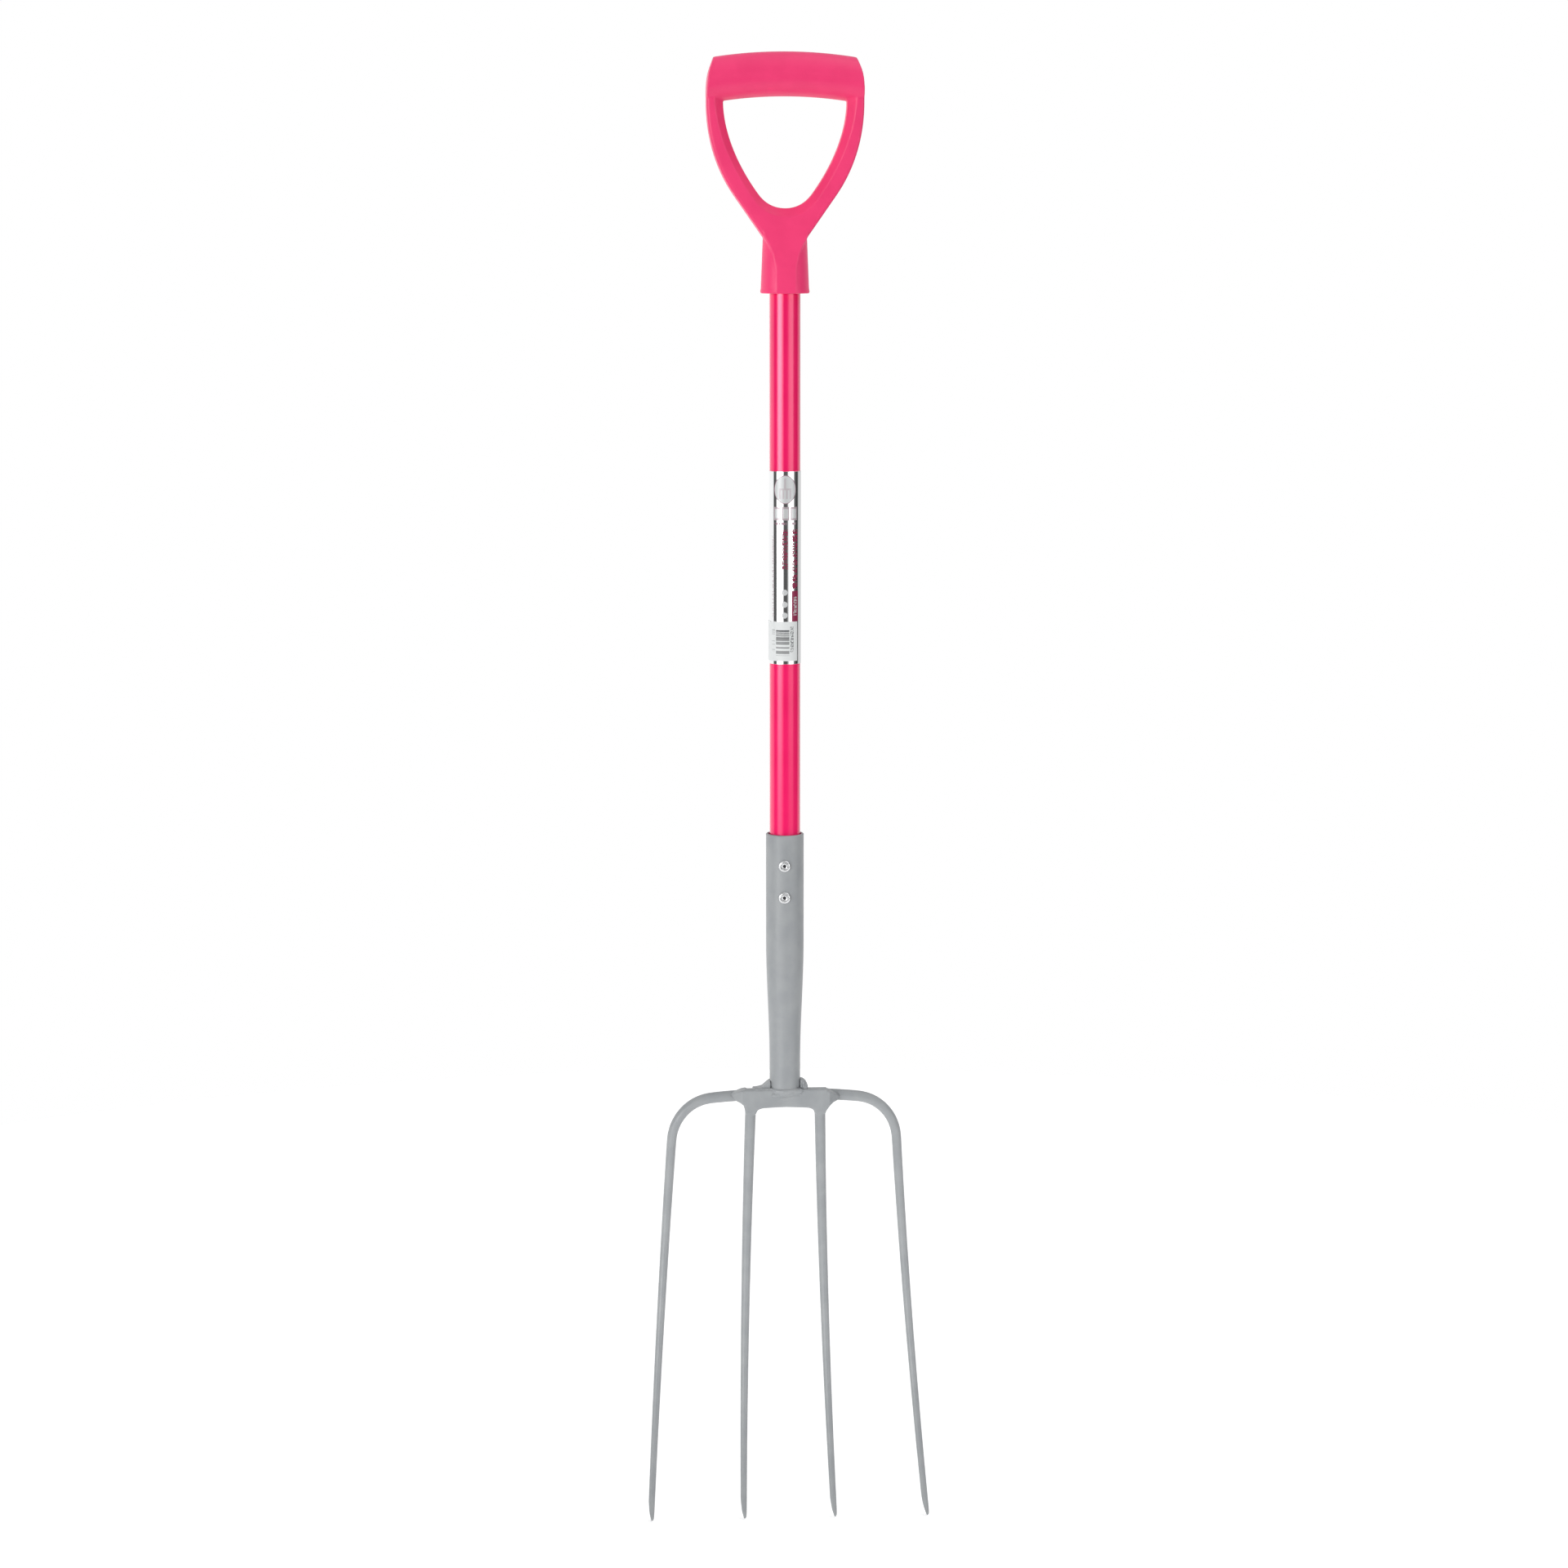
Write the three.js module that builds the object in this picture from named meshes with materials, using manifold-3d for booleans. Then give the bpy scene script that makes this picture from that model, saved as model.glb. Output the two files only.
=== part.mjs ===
// Long-tined garden fork: a moulded D-handle on a round tube, a riveted tapering socket and a
// welded head of four tines, two on a forged crown plate and two on one bar bent behind it.
// Millimetres, +Z up along the shaft, +X to the right, -Y to the front (the hollow side of the tines).
// The origin is the middle of the hand grip.
import * as THREE from 'three';
import { mergeVertices } from 'three/addons/utils/BufferGeometryUtils.js';
import Module from 'manifold-3d';

const wasm = await Module();
wasm.setup();

// ---- Clearances ----
const GAP = 0.3; // air left between pieces that touch
const BORE_GAP = 0.3; // around the tube in the handle's collar
const SOCKET_FIT = 1.1; // around the tube in the steel socket
const WRAP_GAP = 0.2; // under a label
const HOLE_GAP = 0.3; // around a screw or rivet shank

// ---- D-handle ----
const GRIP_DIAMETER = 35.2;
const GRIP_ARCH_RADIUS = 355; // the grip bows up in the middle
const CORNER_OVERHANG = 7.6; // of the two sharp top corners, past the sides of the opening
const WIDEST_DROP = 4.4; // from the grip's underside down to the handle's widest place
const FINGER_WIDTH = 98.8;
const FINGER_DEPTH = 87.7; // from the grip down to the bottom of the opening
const FINGER_FOOT_WIDTH = 42.8; // where the sides have drawn in, just above the bottom
const FINGER_FOOT_HEIGHT = 11; // of that place over the bottom
const FINGER_FOOT_FLARE = 0.74; // sideways for each millimetre up, at that place
const ARM_WIDTH = 13.25; // beside the opening at its widest
const ARM_DEPTH = 24; // front to back
const ARM_BEVEL = 5.5; // inner bevel round the opening, on both faces
const ARM_EDGE = 1.5; // small outer bevel
const ARM_TOP_DROP = 4; // from the grip's middle down to where the arms grow out of it
const WEB_HEIGHT = 22.7; // from the opening down to the collar
const WEB_SHOULDER = 9.8; // over the opening's bottom, where the outline turns down to the collar
const WEB_FLARE = 0.7; // sideways for each millimetre up, from the collar to that shoulder
const WEB_ROOT = 5; // how far the web goes on inside the collar
const COLLAR_LENGTH = 44.6;
const COLLAR_TOP_WALL = 4.9;
const COLLAR_FOOT_WALL = 7;
const COLLAR_DOME_HEIGHT = 14; // of the collar's rounded end, inside the web

// ---- Tube ----
const TUBE_DIAMETER = 25;
const TUBE_WALL = 1;
const TUBE_SHOWING = 437.4; // between the collar and the socket
const TUBE_TOP_DROP = 4.6; // from the collar's top down to the tube's end inside it
const TUBE_FOOT_CLEAR = 8; // from the tube's end down to where the socket starts to taper

// ---- Labels ----
const LABEL_DROP = 141.6; // from the collar down to the label
const LABEL_LENGTH = 155.7;
const LABEL_THICKNESS = 0.25;
const STICKER_HEIGHT = 31.9;
const STICKER_DEGREES = 150;
const STICKER_MIDDLE_DEGREES = -30; // its middle, to the left of the front
const STICKER_LIFT = 2.7; // above the label's lower edge

// ---- Socket ----
const SOCKET_WALL = 1.8;
const SOCKET_STRAIGHT = 90;
const SOCKET_TAPER = 100;
const SOCKET_FOOT_LENGTH = 22.4;
const SOCKET_FOOT_DIAMETER = 25.2;

// ---- Fasteners ----
const RIVET_DROP = 25; // from the socket's rim to the upper rivet
const RIVET_PITCH = 26.2;
const RIVET_DEGREES = -4.5; // both sit slightly left of the front
const RIVET_HEAD_DIAMETER = 9.5;
const RIVET_HEAD_HEIGHT = 1.3;
const RIVET_SHANK_DIAMETER = 4.8;
const RIVET_BORE_DIAMETER = 3;
const RIVET_BULGE_DIAMETER = 6.8;
const RIVET_BULGE_LENGTH = 3.6;
const STEM_DIAMETER = 2.4;
const STEM_HEAD_DIAMETER = 4.2;
const STEM_HEAD_HEIGHT = 1.8;
const STEM_BREAK_HEIGHT = 0.2; // of the stub left in the middle where the stem has broken
const STEM_RECESS = 0.7;
const SCREW_DROP = 22; // from the collar's top to the screw
const SCREW_HEAD_DIAMETER = 8;
const SCREW_HEAD_HEIGHT = 2.4;
const SCREW_DIAMETER = 4;
const SCREW_LENGTH = 13;
const SCREW_TIP = 2.5;
const SCREW_SEAT_DEPTH = 2.2;

// ---- Head ----
const PLATE_OVERHANG = 2; // past the outer sides of the two necks
const PLATE_HEIGHT = 15;
const PLATE_THICKNESS = 9.6;
const PLATE_EDGE = 1.2;
const PLATE_CORNER = 3;
const NECK_LENGTH = 10; // from the plate's underside down to where a neck has become a tine
const BAR_HEIGHT = 9.8;
const BAR_DEPTH = 9.6;
const BAR_DROP = 6.5; // from the plate's top to the middle of the bar
const BAR_ARCH = 2.8; // how far the bar falls from its middle to its shoulders
const SHOULDER_WIDTH = 187; // between the outer tines where they leave the bend
const SHOULDER_DROP = 45.5; // from the plate's top to that place
const SHOULDER_REACH = 33.5; // of the bend, sideways
const TIP_DROP = 351; // from the plate's top to the tips
const OUTER_TIP_SPACING = 227.8;
const INNER_ROOT_SPACING = 56.8;
const INNER_TIP_SPACING = 74.8;
const DISH_DROP = 22.5; // from the plate's top to where the tines begin to curve
const LEAN_BACK_DEGREES = 9; // of the tines as they leave the crown
const SWEEP_FORWARD_DEGREES = 28; // of the tines at their points
const SHOULDER_THICKNESS = 8.1;
const INNER_ROOT_THICKNESS = 9.2;
const TIP_THICKNESS = 5.3;
const TINE_OVAL = 1.08; // depth over width
const POINT_LENGTH = 14.5; // of the slanting cut on each point
const POINT_CUT = 2.9; // how far it reaches across

// ---- Welds ----
const WELD_SINK = 2.6; // how far a weld's blank goes into the pieces that are then cut out of it
const LEG_WELD_REACH = 14.5;
const LEG_WELD_HEIGHT = 11.5;
const LEG_WELD_FRONT = -7.5;
const LEG_WELD_BACK = 5.5;
const LUG_WELD_REACH = 6.4;
const LUG_WELD_HEIGHT = 11;
const LUG_WELD_FRONT = -6.5;
const LUG_WELD_BACK = 3.5;
const BEAD_DIAMETER = 5.6;
const BEAD_DEGREES = 96;
const BEAD_SINK = 0.6; // from the foot's surface in to the middle of the bead
const BEAD_DROP = 1.6; // from the plate's top down to the middle of the bead
const CORNER_WELD_REACH = 6; // past the plate's end
const CORNER_WELD_FILLET = 11; // along the bar's underside
const CORNER_WELD_DROP = 2.2;
const CORNER_WELD_FOOT = 6; // down the outside of the neck
const CORNER_WELD_SINK = 1.9; // behind the plate's face

// ---- Fineness ----
const TUBE_SIDES = 48;
const SMALL_SIDES = 20;
const GRIP_SIDES = 32;
const TINE_SIDES = 12;
const BEAD_SIDES = 8;
const STATION_SPACING = 9;

// ---- Worked-out heights and radii ----
const gripRadius = GRIP_DIAMETER / 2;
const tubeRadius = TUBE_DIAMETER / 2;
const openingBottomZ = -gripRadius - FINGER_DEPTH;
const collarTopZ = openingBottomZ - WEB_HEIGHT;
const collarFootZ = collarTopZ - COLLAR_LENGTH;
const handleWidth = FINGER_WIDTH + 2 * ARM_WIDTH;
const collarBore = tubeRadius + BORE_GAP;
const collarTopRadius = collarBore + COLLAR_TOP_WALL;
const collarFootRadius = collarBore + COLLAR_FOOT_WALL;
const tubeTopZ = collarTopZ - TUBE_TOP_DROP;
const socketRimZ = collarFootZ - TUBE_SHOWING;
const taperTopZ = socketRimZ - SOCKET_STRAIGHT;
const tubeFootZ = taperTopZ + TUBE_FOOT_CLEAR;
const socketFootZ = taperTopZ - SOCKET_TAPER - SOCKET_FOOT_LENGTH;
const plateTopZ = socketFootZ - GAP;
const barMiddleZ = plateTopZ - BAR_DROP;
const tipZ = plateTopZ - TIP_DROP;
const dishTopZ = plateTopZ - DISH_DROP;
const socketInnerRadius = tubeRadius + SOCKET_FIT;
const socketRadius = socketInnerRadius + SOCKET_WALL;
const socketFootRadius = SOCKET_FOOT_DIAMETER / 2;
const plateWidth = INNER_ROOT_SPACING + INNER_ROOT_THICKNESS + 2 * PLATE_OVERHANG;
const plateFootZ = plateTopZ - PLATE_HEIGHT;
const plateY = -(PLATE_THICKNESS + GAP) / 2;
const barY = (BAR_DEPTH + GAP) / 2;
const screwZ = collarTopZ - SCREW_DROP;
const rivetHeights = [socketRimZ - RIVET_DROP, socketRimZ - RIVET_DROP - RIVET_PITCH];

const radians = THREE.MathUtils.degToRad;

// ---- Solids ----

// The shape as a solid that can be cut and joined: shared corners are merged and slivers dropped.
function toSolid(geometry) {
  const bare = geometry.clone();
  bare.deleteAttribute('normal');
  bare.deleteAttribute('uv');
  const merged = mergeVertices(bare, 1e-4);
  const corners = merged.index.array;
  const kept = [];
  for (let i = 0; i < corners.length; i += 3) {
    const [a, b, c] = [corners[i], corners[i + 1], corners[i + 2]];
    if (a !== b && b !== c && c !== a) {
      kept.push(a, b, c);
    }
  }
  return new wasm.Manifold(new wasm.Mesh({
    numProp: 3,
    vertProperties: Float32Array.from(merged.attributes.position.array),
    triVerts: Uint32Array.from(kept),
  }));
}

function toGeometry(solid) {
  const mesh = solid.getMesh();
  const geometry = new THREE.BufferGeometry();
  geometry.setAttribute('position', new THREE.BufferAttribute(mesh.vertProperties, 3));
  geometry.setIndex(new THREE.BufferAttribute(mesh.triVerts, 1));
  geometry.computeVertexNormals();
  return geometry;
}

// A turned shape about the Z axis, from [radius, height] points listed from the bottom up on its
// outside. A profile that leaves the axis free is closed on itself.
function turned(profile, sides) {
  const points = profile.map(([radius, height]) => new THREE.Vector2(radius, height));
  return new THREE.LatheGeometry(points, sides).rotateX(Math.PI / 2);
}

// A shape drawn in the front view (x, z), extruded from front to back and centred on middleY.
function slab(shape, depth, middleY, edge) {
  const geometry = new THREE.ExtrudeGeometry(shape, {
    depth: depth - 2 * edge,
    bevelEnabled: edge > 0,
    bevelThickness: edge,
    bevelSize: edge,
    bevelOffset: -edge,
    bevelSegments: 1,
    curveSegments: 10,
  });
  return geometry.translate(0, 0, edge - depth / 2).rotateX(Math.PI / 2).translate(0, middleY, 0);
}

// A closed shape from its right half, which runs from the top of the middle line to the bottom.
function mirrored(halfPoints) {
  const left = halfPoints.map((point) => new THREE.Vector2(-point.x, point.y)).reverse();
  return new THREE.Shape([...halfPoints, ...left]);
}

// A round or oval bar through a list of stations. Each has its place, its two half sizes and how far
// a slanting cut has come in from the left side. `side` lies across the bar in the front view.
function barThrough(stations, sides) {
  const geometry = new THREE.CylinderGeometry(1, 1, 1, sides, stations.length - 1);
  const position = geometry.attributes.position;
  const toBack = new THREE.Vector3(0, 1, 0);
  const last = stations.length - 1;
  for (let i = 0; i < position.count; i++) {
    const index = Math.round((0.5 - position.getY(i)) * last);
    const station = stations[index];
    const before = stations[Math.max(index - 1, 0)].place;
    const after = stations[Math.min(index + 1, last)].place;
    const along = after.clone().sub(before).normalize();
    const side = along.clone().cross(toBack).normalize();
    const deep = along.clone().cross(side);
    const across = position.getX(i) * station.halfWidth;
    const cutEdge = station.halfWidth - station.cut;
    const kept = side.x < 0 ? Math.min(across, cutEdge) : Math.max(across, -cutEdge);
    const point = station.place.clone()
      .addScaledVector(side, kept)
      .addScaledVector(deep, position.getZ(i) * station.halfDepth);
    position.setXYZ(i, point.x, point.y, point.z);
  }
  geometry.computeVertexNormals();
  return geometry;
}

// ---- D-handle ----

// The handle's outer line in the front view. The pulls say how far each end of a curve keeps its way.
function handleOutline() {
  const half = new THREE.Path();
  const spare = 2;
  const sidePull = 26;
  const shoulderPull = 22;
  const widestX = handleWidth / 2;
  const widestZ = -gripRadius - WIDEST_DROP;
  const cornerX = FINGER_WIDTH / 2 + CORNER_OVERHANG;
  const cornerZ = gripRadius - archDrop(cornerX);
  const shoulderZ = openingBottomZ + WEB_SHOULDER;
  const shoulderX = collarTopRadius + WEB_FLARE * (shoulderZ - collarTopZ);
  const pulledX = shoulderX + WEB_FLARE * shoulderPull;
  half.moveTo(0, gripRadius + spare);
  half.lineTo(cornerX - spare / 4, cornerZ + spare);
  half.lineTo(cornerX, cornerZ);
  half.quadraticCurveTo(widestX, -gripRadius / 3, widestX, widestZ);
  half.bezierCurveTo(widestX, widestZ - sidePull, pulledX, shoulderZ + shoulderPull, shoulderX, shoulderZ);
  half.lineTo(collarTopRadius, collarTopZ);
  half.lineTo(collarTopRadius - WEB_ROOT / 2, collarTopZ - WEB_ROOT);
  half.lineTo(0, collarTopZ - WEB_ROOT);
  return half.getPoints(9);
}

// How far the arched grip has fallen at a distance x from its middle.
function archDrop(x) {
  return GRIP_ARCH_RADIUS - Math.sqrt(GRIP_ARCH_RADIUS ** 2 - x ** 2);
}

// The opening under the grip: upright sides that draw in to a foot and close in a round bottom.
function fingerOpening() {
  const half = new THREE.Path();
  const sidePull = 26;
  const footPull = 21;
  const roundPull = 6.8;
  const side = FINGER_WIDTH / 2;
  const sideZ = -gripRadius - 3;
  const topZ = -gripRadius / 2;
  const footX = FINGER_FOOT_WIDTH / 2;
  const footZ = openingBottomZ + FINGER_FOOT_HEIGHT;
  const pulledX = footX + FINGER_FOOT_FLARE * footPull;
  const roundX = footX - FINGER_FOOT_FLARE * roundPull;
  half.moveTo(0, topZ);
  half.lineTo(side, topZ);
  half.lineTo(side, sideZ);
  half.bezierCurveTo(side, sideZ - sidePull, pulledX, footZ + footPull, footX, footZ);
  half.bezierCurveTo(roundX, footZ - roundPull, footX * 0.44, openingBottomZ, 0, openingBottomZ);
  return mirrored(half.getPoints(9));
}

function fingerBevel() {
  const geometry = new THREE.ExtrudeGeometry(fingerOpening(), {
    depth: ARM_DEPTH,
    bevelThickness: ARM_BEVEL,
    bevelSize: ARM_BEVEL,
    bevelSegments: 1,
    curveSegments: 10,
  });
  return toSolid(geometry.rotateX(Math.PI / 2));
}

function gripBar() {
  const stations = [];
  const spare = 3;
  const reach = handleWidth / 2 + spare;
  const count = 12;
  for (let i = 0; i <= count; i++) {
    const x = reach * (2 * i / count - 1);
    const place = new THREE.Vector3(x, 0, -archDrop(x));
    stations.push({ place, halfWidth: gripRadius, halfDepth: gripRadius, cut: 0 });
  }
  return toSolid(barThrough(stations, GRIP_SIDES));
}

function handleSolid() {
  const outline = mirrored(handleOutline());
  const spare = 10;
  const full = toSolid(slab(outline, GRIP_DIAMETER + spare, 0, 0));
  const arms = toSolid(slab(outline, ARM_DEPTH, 0, ARM_EDGE));
  const below = new THREE.BoxGeometry(handleWidth + spare, ARM_DEPTH + spare, -collarFootZ);
  below.translate(0, 0, collarFootZ / 2 - ARM_TOP_DROP);
  const opening = toSolid(slab(fingerOpening(), ARM_DEPTH + spare, 0, 0));
  const bevel = fingerBevel();
  const frontBevel = bevel.translate([0, -ARM_DEPTH / 2, 0]);
  const backBevel = bevel.translate([0, ARM_DEPTH * 3 / 2, 0]);
  const frame = arms.intersect(toSolid(below)).subtract(opening).subtract(frontBevel).subtract(backBevel);
  const collar = toSolid(turned([
    [0, collarFootZ],
    [collarFootRadius, collarFootZ],
    [collarTopRadius, collarTopZ],
    [ARM_DEPTH / 2, collarTopZ + COLLAR_DOME_HEIGHT * 2 / 3],
    [0, collarTopZ + COLLAR_DOME_HEIGHT],
  ], TUBE_SIDES));
  const bore = toSolid(turned([
    [0, collarFootZ - spare],
    [collarBore, collarFootZ - spare],
    [collarBore, tubeTopZ + GAP],
    [0, tubeTopZ + GAP],
  ], TUBE_SIDES));
  return gripBar().intersect(full).add(frame).add(collar).subtract(bore).subtract(screwHole());
}

// The collar's radius at the screw's height, less the flat seat cut for the head.
function screwSeatY() {
  const share = (screwZ - collarFootZ) / COLLAR_LENGTH;
  return THREE.MathUtils.lerp(collarFootRadius, collarTopRadius, share) - SCREW_SEAT_DEPTH;
}

// Turns a shape made about +Z so that it points to the back, with its zero at the given place.
function pointingBack(geometry, y, z) {
  return geometry.rotateX(-Math.PI / 2).translate(0, y, z);
}

function screwHole() {
  const seatRadius = SCREW_HEAD_DIAMETER / 2 + 2 * HOLE_GAP;
  const shankRadius = SCREW_DIAMETER / 2 + HOLE_GAP;
  const innerEnd = -SCREW_LENGTH - HOLE_GAP;
  const outerEnd = 2 * SCREW_SEAT_DEPTH + SCREW_HEAD_HEIGHT;
  const cutter = turned([
    [0, innerEnd],
    [shankRadius, innerEnd],
    [shankRadius, 0],
    [seatRadius, 0],
    [seatRadius, outerEnd],
    [0, outerEnd],
  ], SMALL_SIDES);
  return toSolid(pointingBack(cutter, screwSeatY(), screwZ));
}

function handleScrew() {
  const headRadius = SCREW_HEAD_DIAMETER / 2;
  const shankRadius = SCREW_DIAMETER / 2;
  const profile = turned([
    [0, -SCREW_LENGTH],
    [shankRadius * 0.3, -SCREW_LENGTH],
    [shankRadius, SCREW_TIP - SCREW_LENGTH],
    [shankRadius, GAP],
    [headRadius, GAP],
    [headRadius, SCREW_HEAD_HEIGHT * 0.4],
    [headRadius * 0.75, SCREW_HEAD_HEIGHT * 0.8],
    [headRadius * 0.4, SCREW_HEAD_HEIGHT],
    [0, SCREW_HEAD_HEIGHT],
  ], SMALL_SIDES);
  return pointingBack(profile, screwSeatY(), screwZ);
}

// ---- Shaft and labels ----

function sleeve(innerRadius, outerRadius, lowZ, highZ) {
  return turned([
    [innerRadius, lowZ],
    [outerRadius, lowZ],
    [outerRadius, highZ],
    [innerRadius, highZ],
    [innerRadius, lowZ],
  ], TUBE_SIDES);
}

function shaftTube() {
  const tube = toSolid(sleeve(tubeInnerRadius, tubeRadius, tubeFootZ, tubeTopZ));
  return toGeometry(rivetHoles(tube).subtract(screwHole()));
}

const labelTopZ = collarFootZ - LABEL_DROP;
const labelFootZ = labelTopZ - LABEL_LENGTH;
const labelRadius = tubeRadius + WRAP_GAP + LABEL_THICKNESS;

function foilLabel() {
  return sleeve(tubeRadius + WRAP_GAP, labelRadius, labelFootZ, labelTopZ);
}

// A curved patch. Its corners fall on the same flats as the tube's, so that the two stay parallel.
function barcodeSticker() {
  const inner = labelRadius + WRAP_GAP;
  const outer = inner + LABEL_THICKNESS;
  const step = 360 / TUBE_SIDES;
  const first = Math.round((STICKER_MIDDLE_DEGREES - STICKER_DEGREES / 2) / step);
  const last = Math.round((STICKER_MIDDLE_DEGREES + STICKER_DEGREES / 2) / step);
  const arc = (radius, index) => {
    const angle = radians(index * step - 90);
    return new THREE.Vector2(radius * Math.cos(angle), radius * Math.sin(angle));
  };
  const points = [];
  for (let i = first; i <= last; i++) {
    points.push(arc(outer, i));
  }
  for (let i = last; i >= first; i--) {
    points.push(arc(inner, i));
  }
  const geometry = new THREE.ExtrudeGeometry(new THREE.Shape(points), {
    depth: STICKER_HEIGHT,
    bevelEnabled: false,
  });
  return geometry.translate(0, 0, labelFootZ + STICKER_LIFT);
}

// ---- Socket and rivets ----

// The socket's outer radius at a height: straight, then an even S-shaped taper, then straight.
function socketRadiusAt(z) {
  return THREE.MathUtils.lerp(
    socketRadius,
    socketFootRadius,
    THREE.MathUtils.smoothstep(taperTopZ - z, 0, SOCKET_TAPER),
  );
}

function socketProfile(inset) {
  const rows = [socketFootZ];
  const count = 10;
  for (let i = count; i >= 0; i--) {
    rows.push(taperTopZ - SOCKET_TAPER * i / count);
  }
  rows.push(socketRimZ);
  return rows.map((z) => [socketRadiusAt(z) - inset, z]);
}

function socketSolid() {
  const outside = socketProfile(0);
  const inside = socketProfile(SOCKET_WALL).reverse();
  const shell = toSolid(turned([...outside, ...inside, outside[0]], TUBE_SIDES));
  return toGeometry(rivetHoles(shell));
}

// How deep a rivet's blind end starts behind the socket's face: through both walls and the fit, and
// as deep again as the tube's inside curves away under the bulge.
const tubeInnerRadius = tubeRadius - TUBE_WALL;
const wallSag = tubeInnerRadius - Math.sqrt(tubeInnerRadius ** 2 - (RIVET_BULGE_DIAMETER / 2) ** 2);
const rivetGrip = SOCKET_WALL + SOCKET_FIT + TUBE_WALL + GAP + wallSag;

// Turns a shape made about +Z so that it points out of the socket's front at a rivet's place.
function atRivet(geometry, z) {
  return geometry
    .rotateX(Math.PI / 2)
    .translate(0, -socketRadius, z)
    .rotateZ(radians(RIVET_DEGREES));
}

function rivetHoles(solid) {
  const radius = RIVET_SHANK_DIAMETER / 2 + HOLE_GAP;
  const inner = -2 * rivetGrip;
  return rivetHeights.reduce((rest, z) => {
    const drill = turned([[0, inner], [radius, inner], [radius, rivetGrip], [0, rivetGrip]], SMALL_SIDES);
    return rest.subtract(toSolid(atRivet(drill, z)));
  }, solid);
}

function rivetBody(z) {
  const bore = RIVET_BORE_DIAMETER / 2;
  const shank = RIVET_SHANK_DIAMETER / 2;
  const head = RIVET_HEAD_DIAMETER / 2;
  const bulge = RIVET_BULGE_DIAMETER / 2;
  const inner = -rivetGrip - RIVET_BULGE_LENGTH;
  const top = GAP + RIVET_HEAD_HEIGHT;
  return atRivet(turned([
    [bore, inner],
    [shank, inner],
    [bulge, inner + RIVET_BULGE_LENGTH * 0.3],
    [bulge, inner + RIVET_BULGE_LENGTH * 0.8],
    [shank, -rivetGrip],
    [shank, GAP],
    [head, GAP],
    [head, top - RIVET_HEAD_HEIGHT * 0.7],
    [head * 0.78, top - RIVET_HEAD_HEIGHT * 0.2],
    [head * 0.5, top],
    [bore, top - RIVET_HEAD_HEIGHT * 0.2],
    [bore, inner],
  ], SMALL_SIDES), z);
}

function rivetStem(z) {
  const stem = STEM_DIAMETER / 2;
  const head = STEM_HEAD_DIAMETER / 2;
  const seat = -rivetGrip - RIVET_BULGE_LENGTH - GAP;
  const broken = RIVET_HEAD_HEIGHT - STEM_RECESS;
  return atRivet(turned([
    [0, seat - STEM_HEAD_HEIGHT],
    [head * 0.7, seat - STEM_HEAD_HEIGHT],
    [head, seat - STEM_HEAD_HEIGHT / 2],
    [head, seat],
    [stem, seat],
    [stem, broken],
    [stem * 0.5, broken + STEM_BREAK_HEIGHT],
    [0, broken + STEM_BREAK_HEIGHT],
  ], SMALL_SIDES), z);
}

// ---- Tines ----

// The hollow of the tines: they lean back out of the crown and then sweep forward on one arc.
const leanBack = Math.sin(radians(-LEAN_BACK_DEGREES));
const sweepForward = Math.sin(radians(SWEEP_FORWARD_DEGREES));
const dishRadius = (dishTopZ - tipZ) / (sweepForward - leanBack);

function dishAt(z) {
  if (z >= dishTopZ) {
    return 0;
  }
  const slope = leanBack + (dishTopZ - z) / dishRadius;
  const startsAt = Math.sqrt(1 - leanBack ** 2);
  return -dishRadius * (startsAt - Math.sqrt(1 - slope ** 2));
}

// One straight leg in the front view, from its root to its point, as stations. The two rows of tines
// start one behind the other and come together at their points.
function legStations({ rootX, rootZ, tipX, rootY, rootThickness }) {
  const stations = [];
  const count = Math.round((rootZ - tipZ - POINT_LENGTH) / STATION_SPACING);
  const place = (z) => {
    const share = (rootZ - z) / (rootZ - tipZ);
    const x = THREE.MathUtils.lerp(rootX, tipX, share);
    const point = new THREE.Vector3(x, dishAt(z) + rootY * (1 - share), z);
    const half = THREE.MathUtils.lerp(rootThickness, TIP_THICKNESS, share) / 2;
    return { place: point, halfWidth: half, halfDepth: half * TINE_OVAL, cut: 0 };
  };
  for (let i = 0; i <= count; i++) {
    stations.push(place(rootZ - (rootZ - tipZ - POINT_LENGTH) * i / count));
  }
  for (const share of [0.35, 0.65, 0.88, 1]) {
    const station = place(tipZ + POINT_LENGTH * (1 - share));
    station.cut = POINT_CUT * share ** 1.6;
    station.halfDepth *= Math.sqrt(1 - 0.8 * share ** 3);
    stations.push(station);
  }
  return stations;
}

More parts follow.
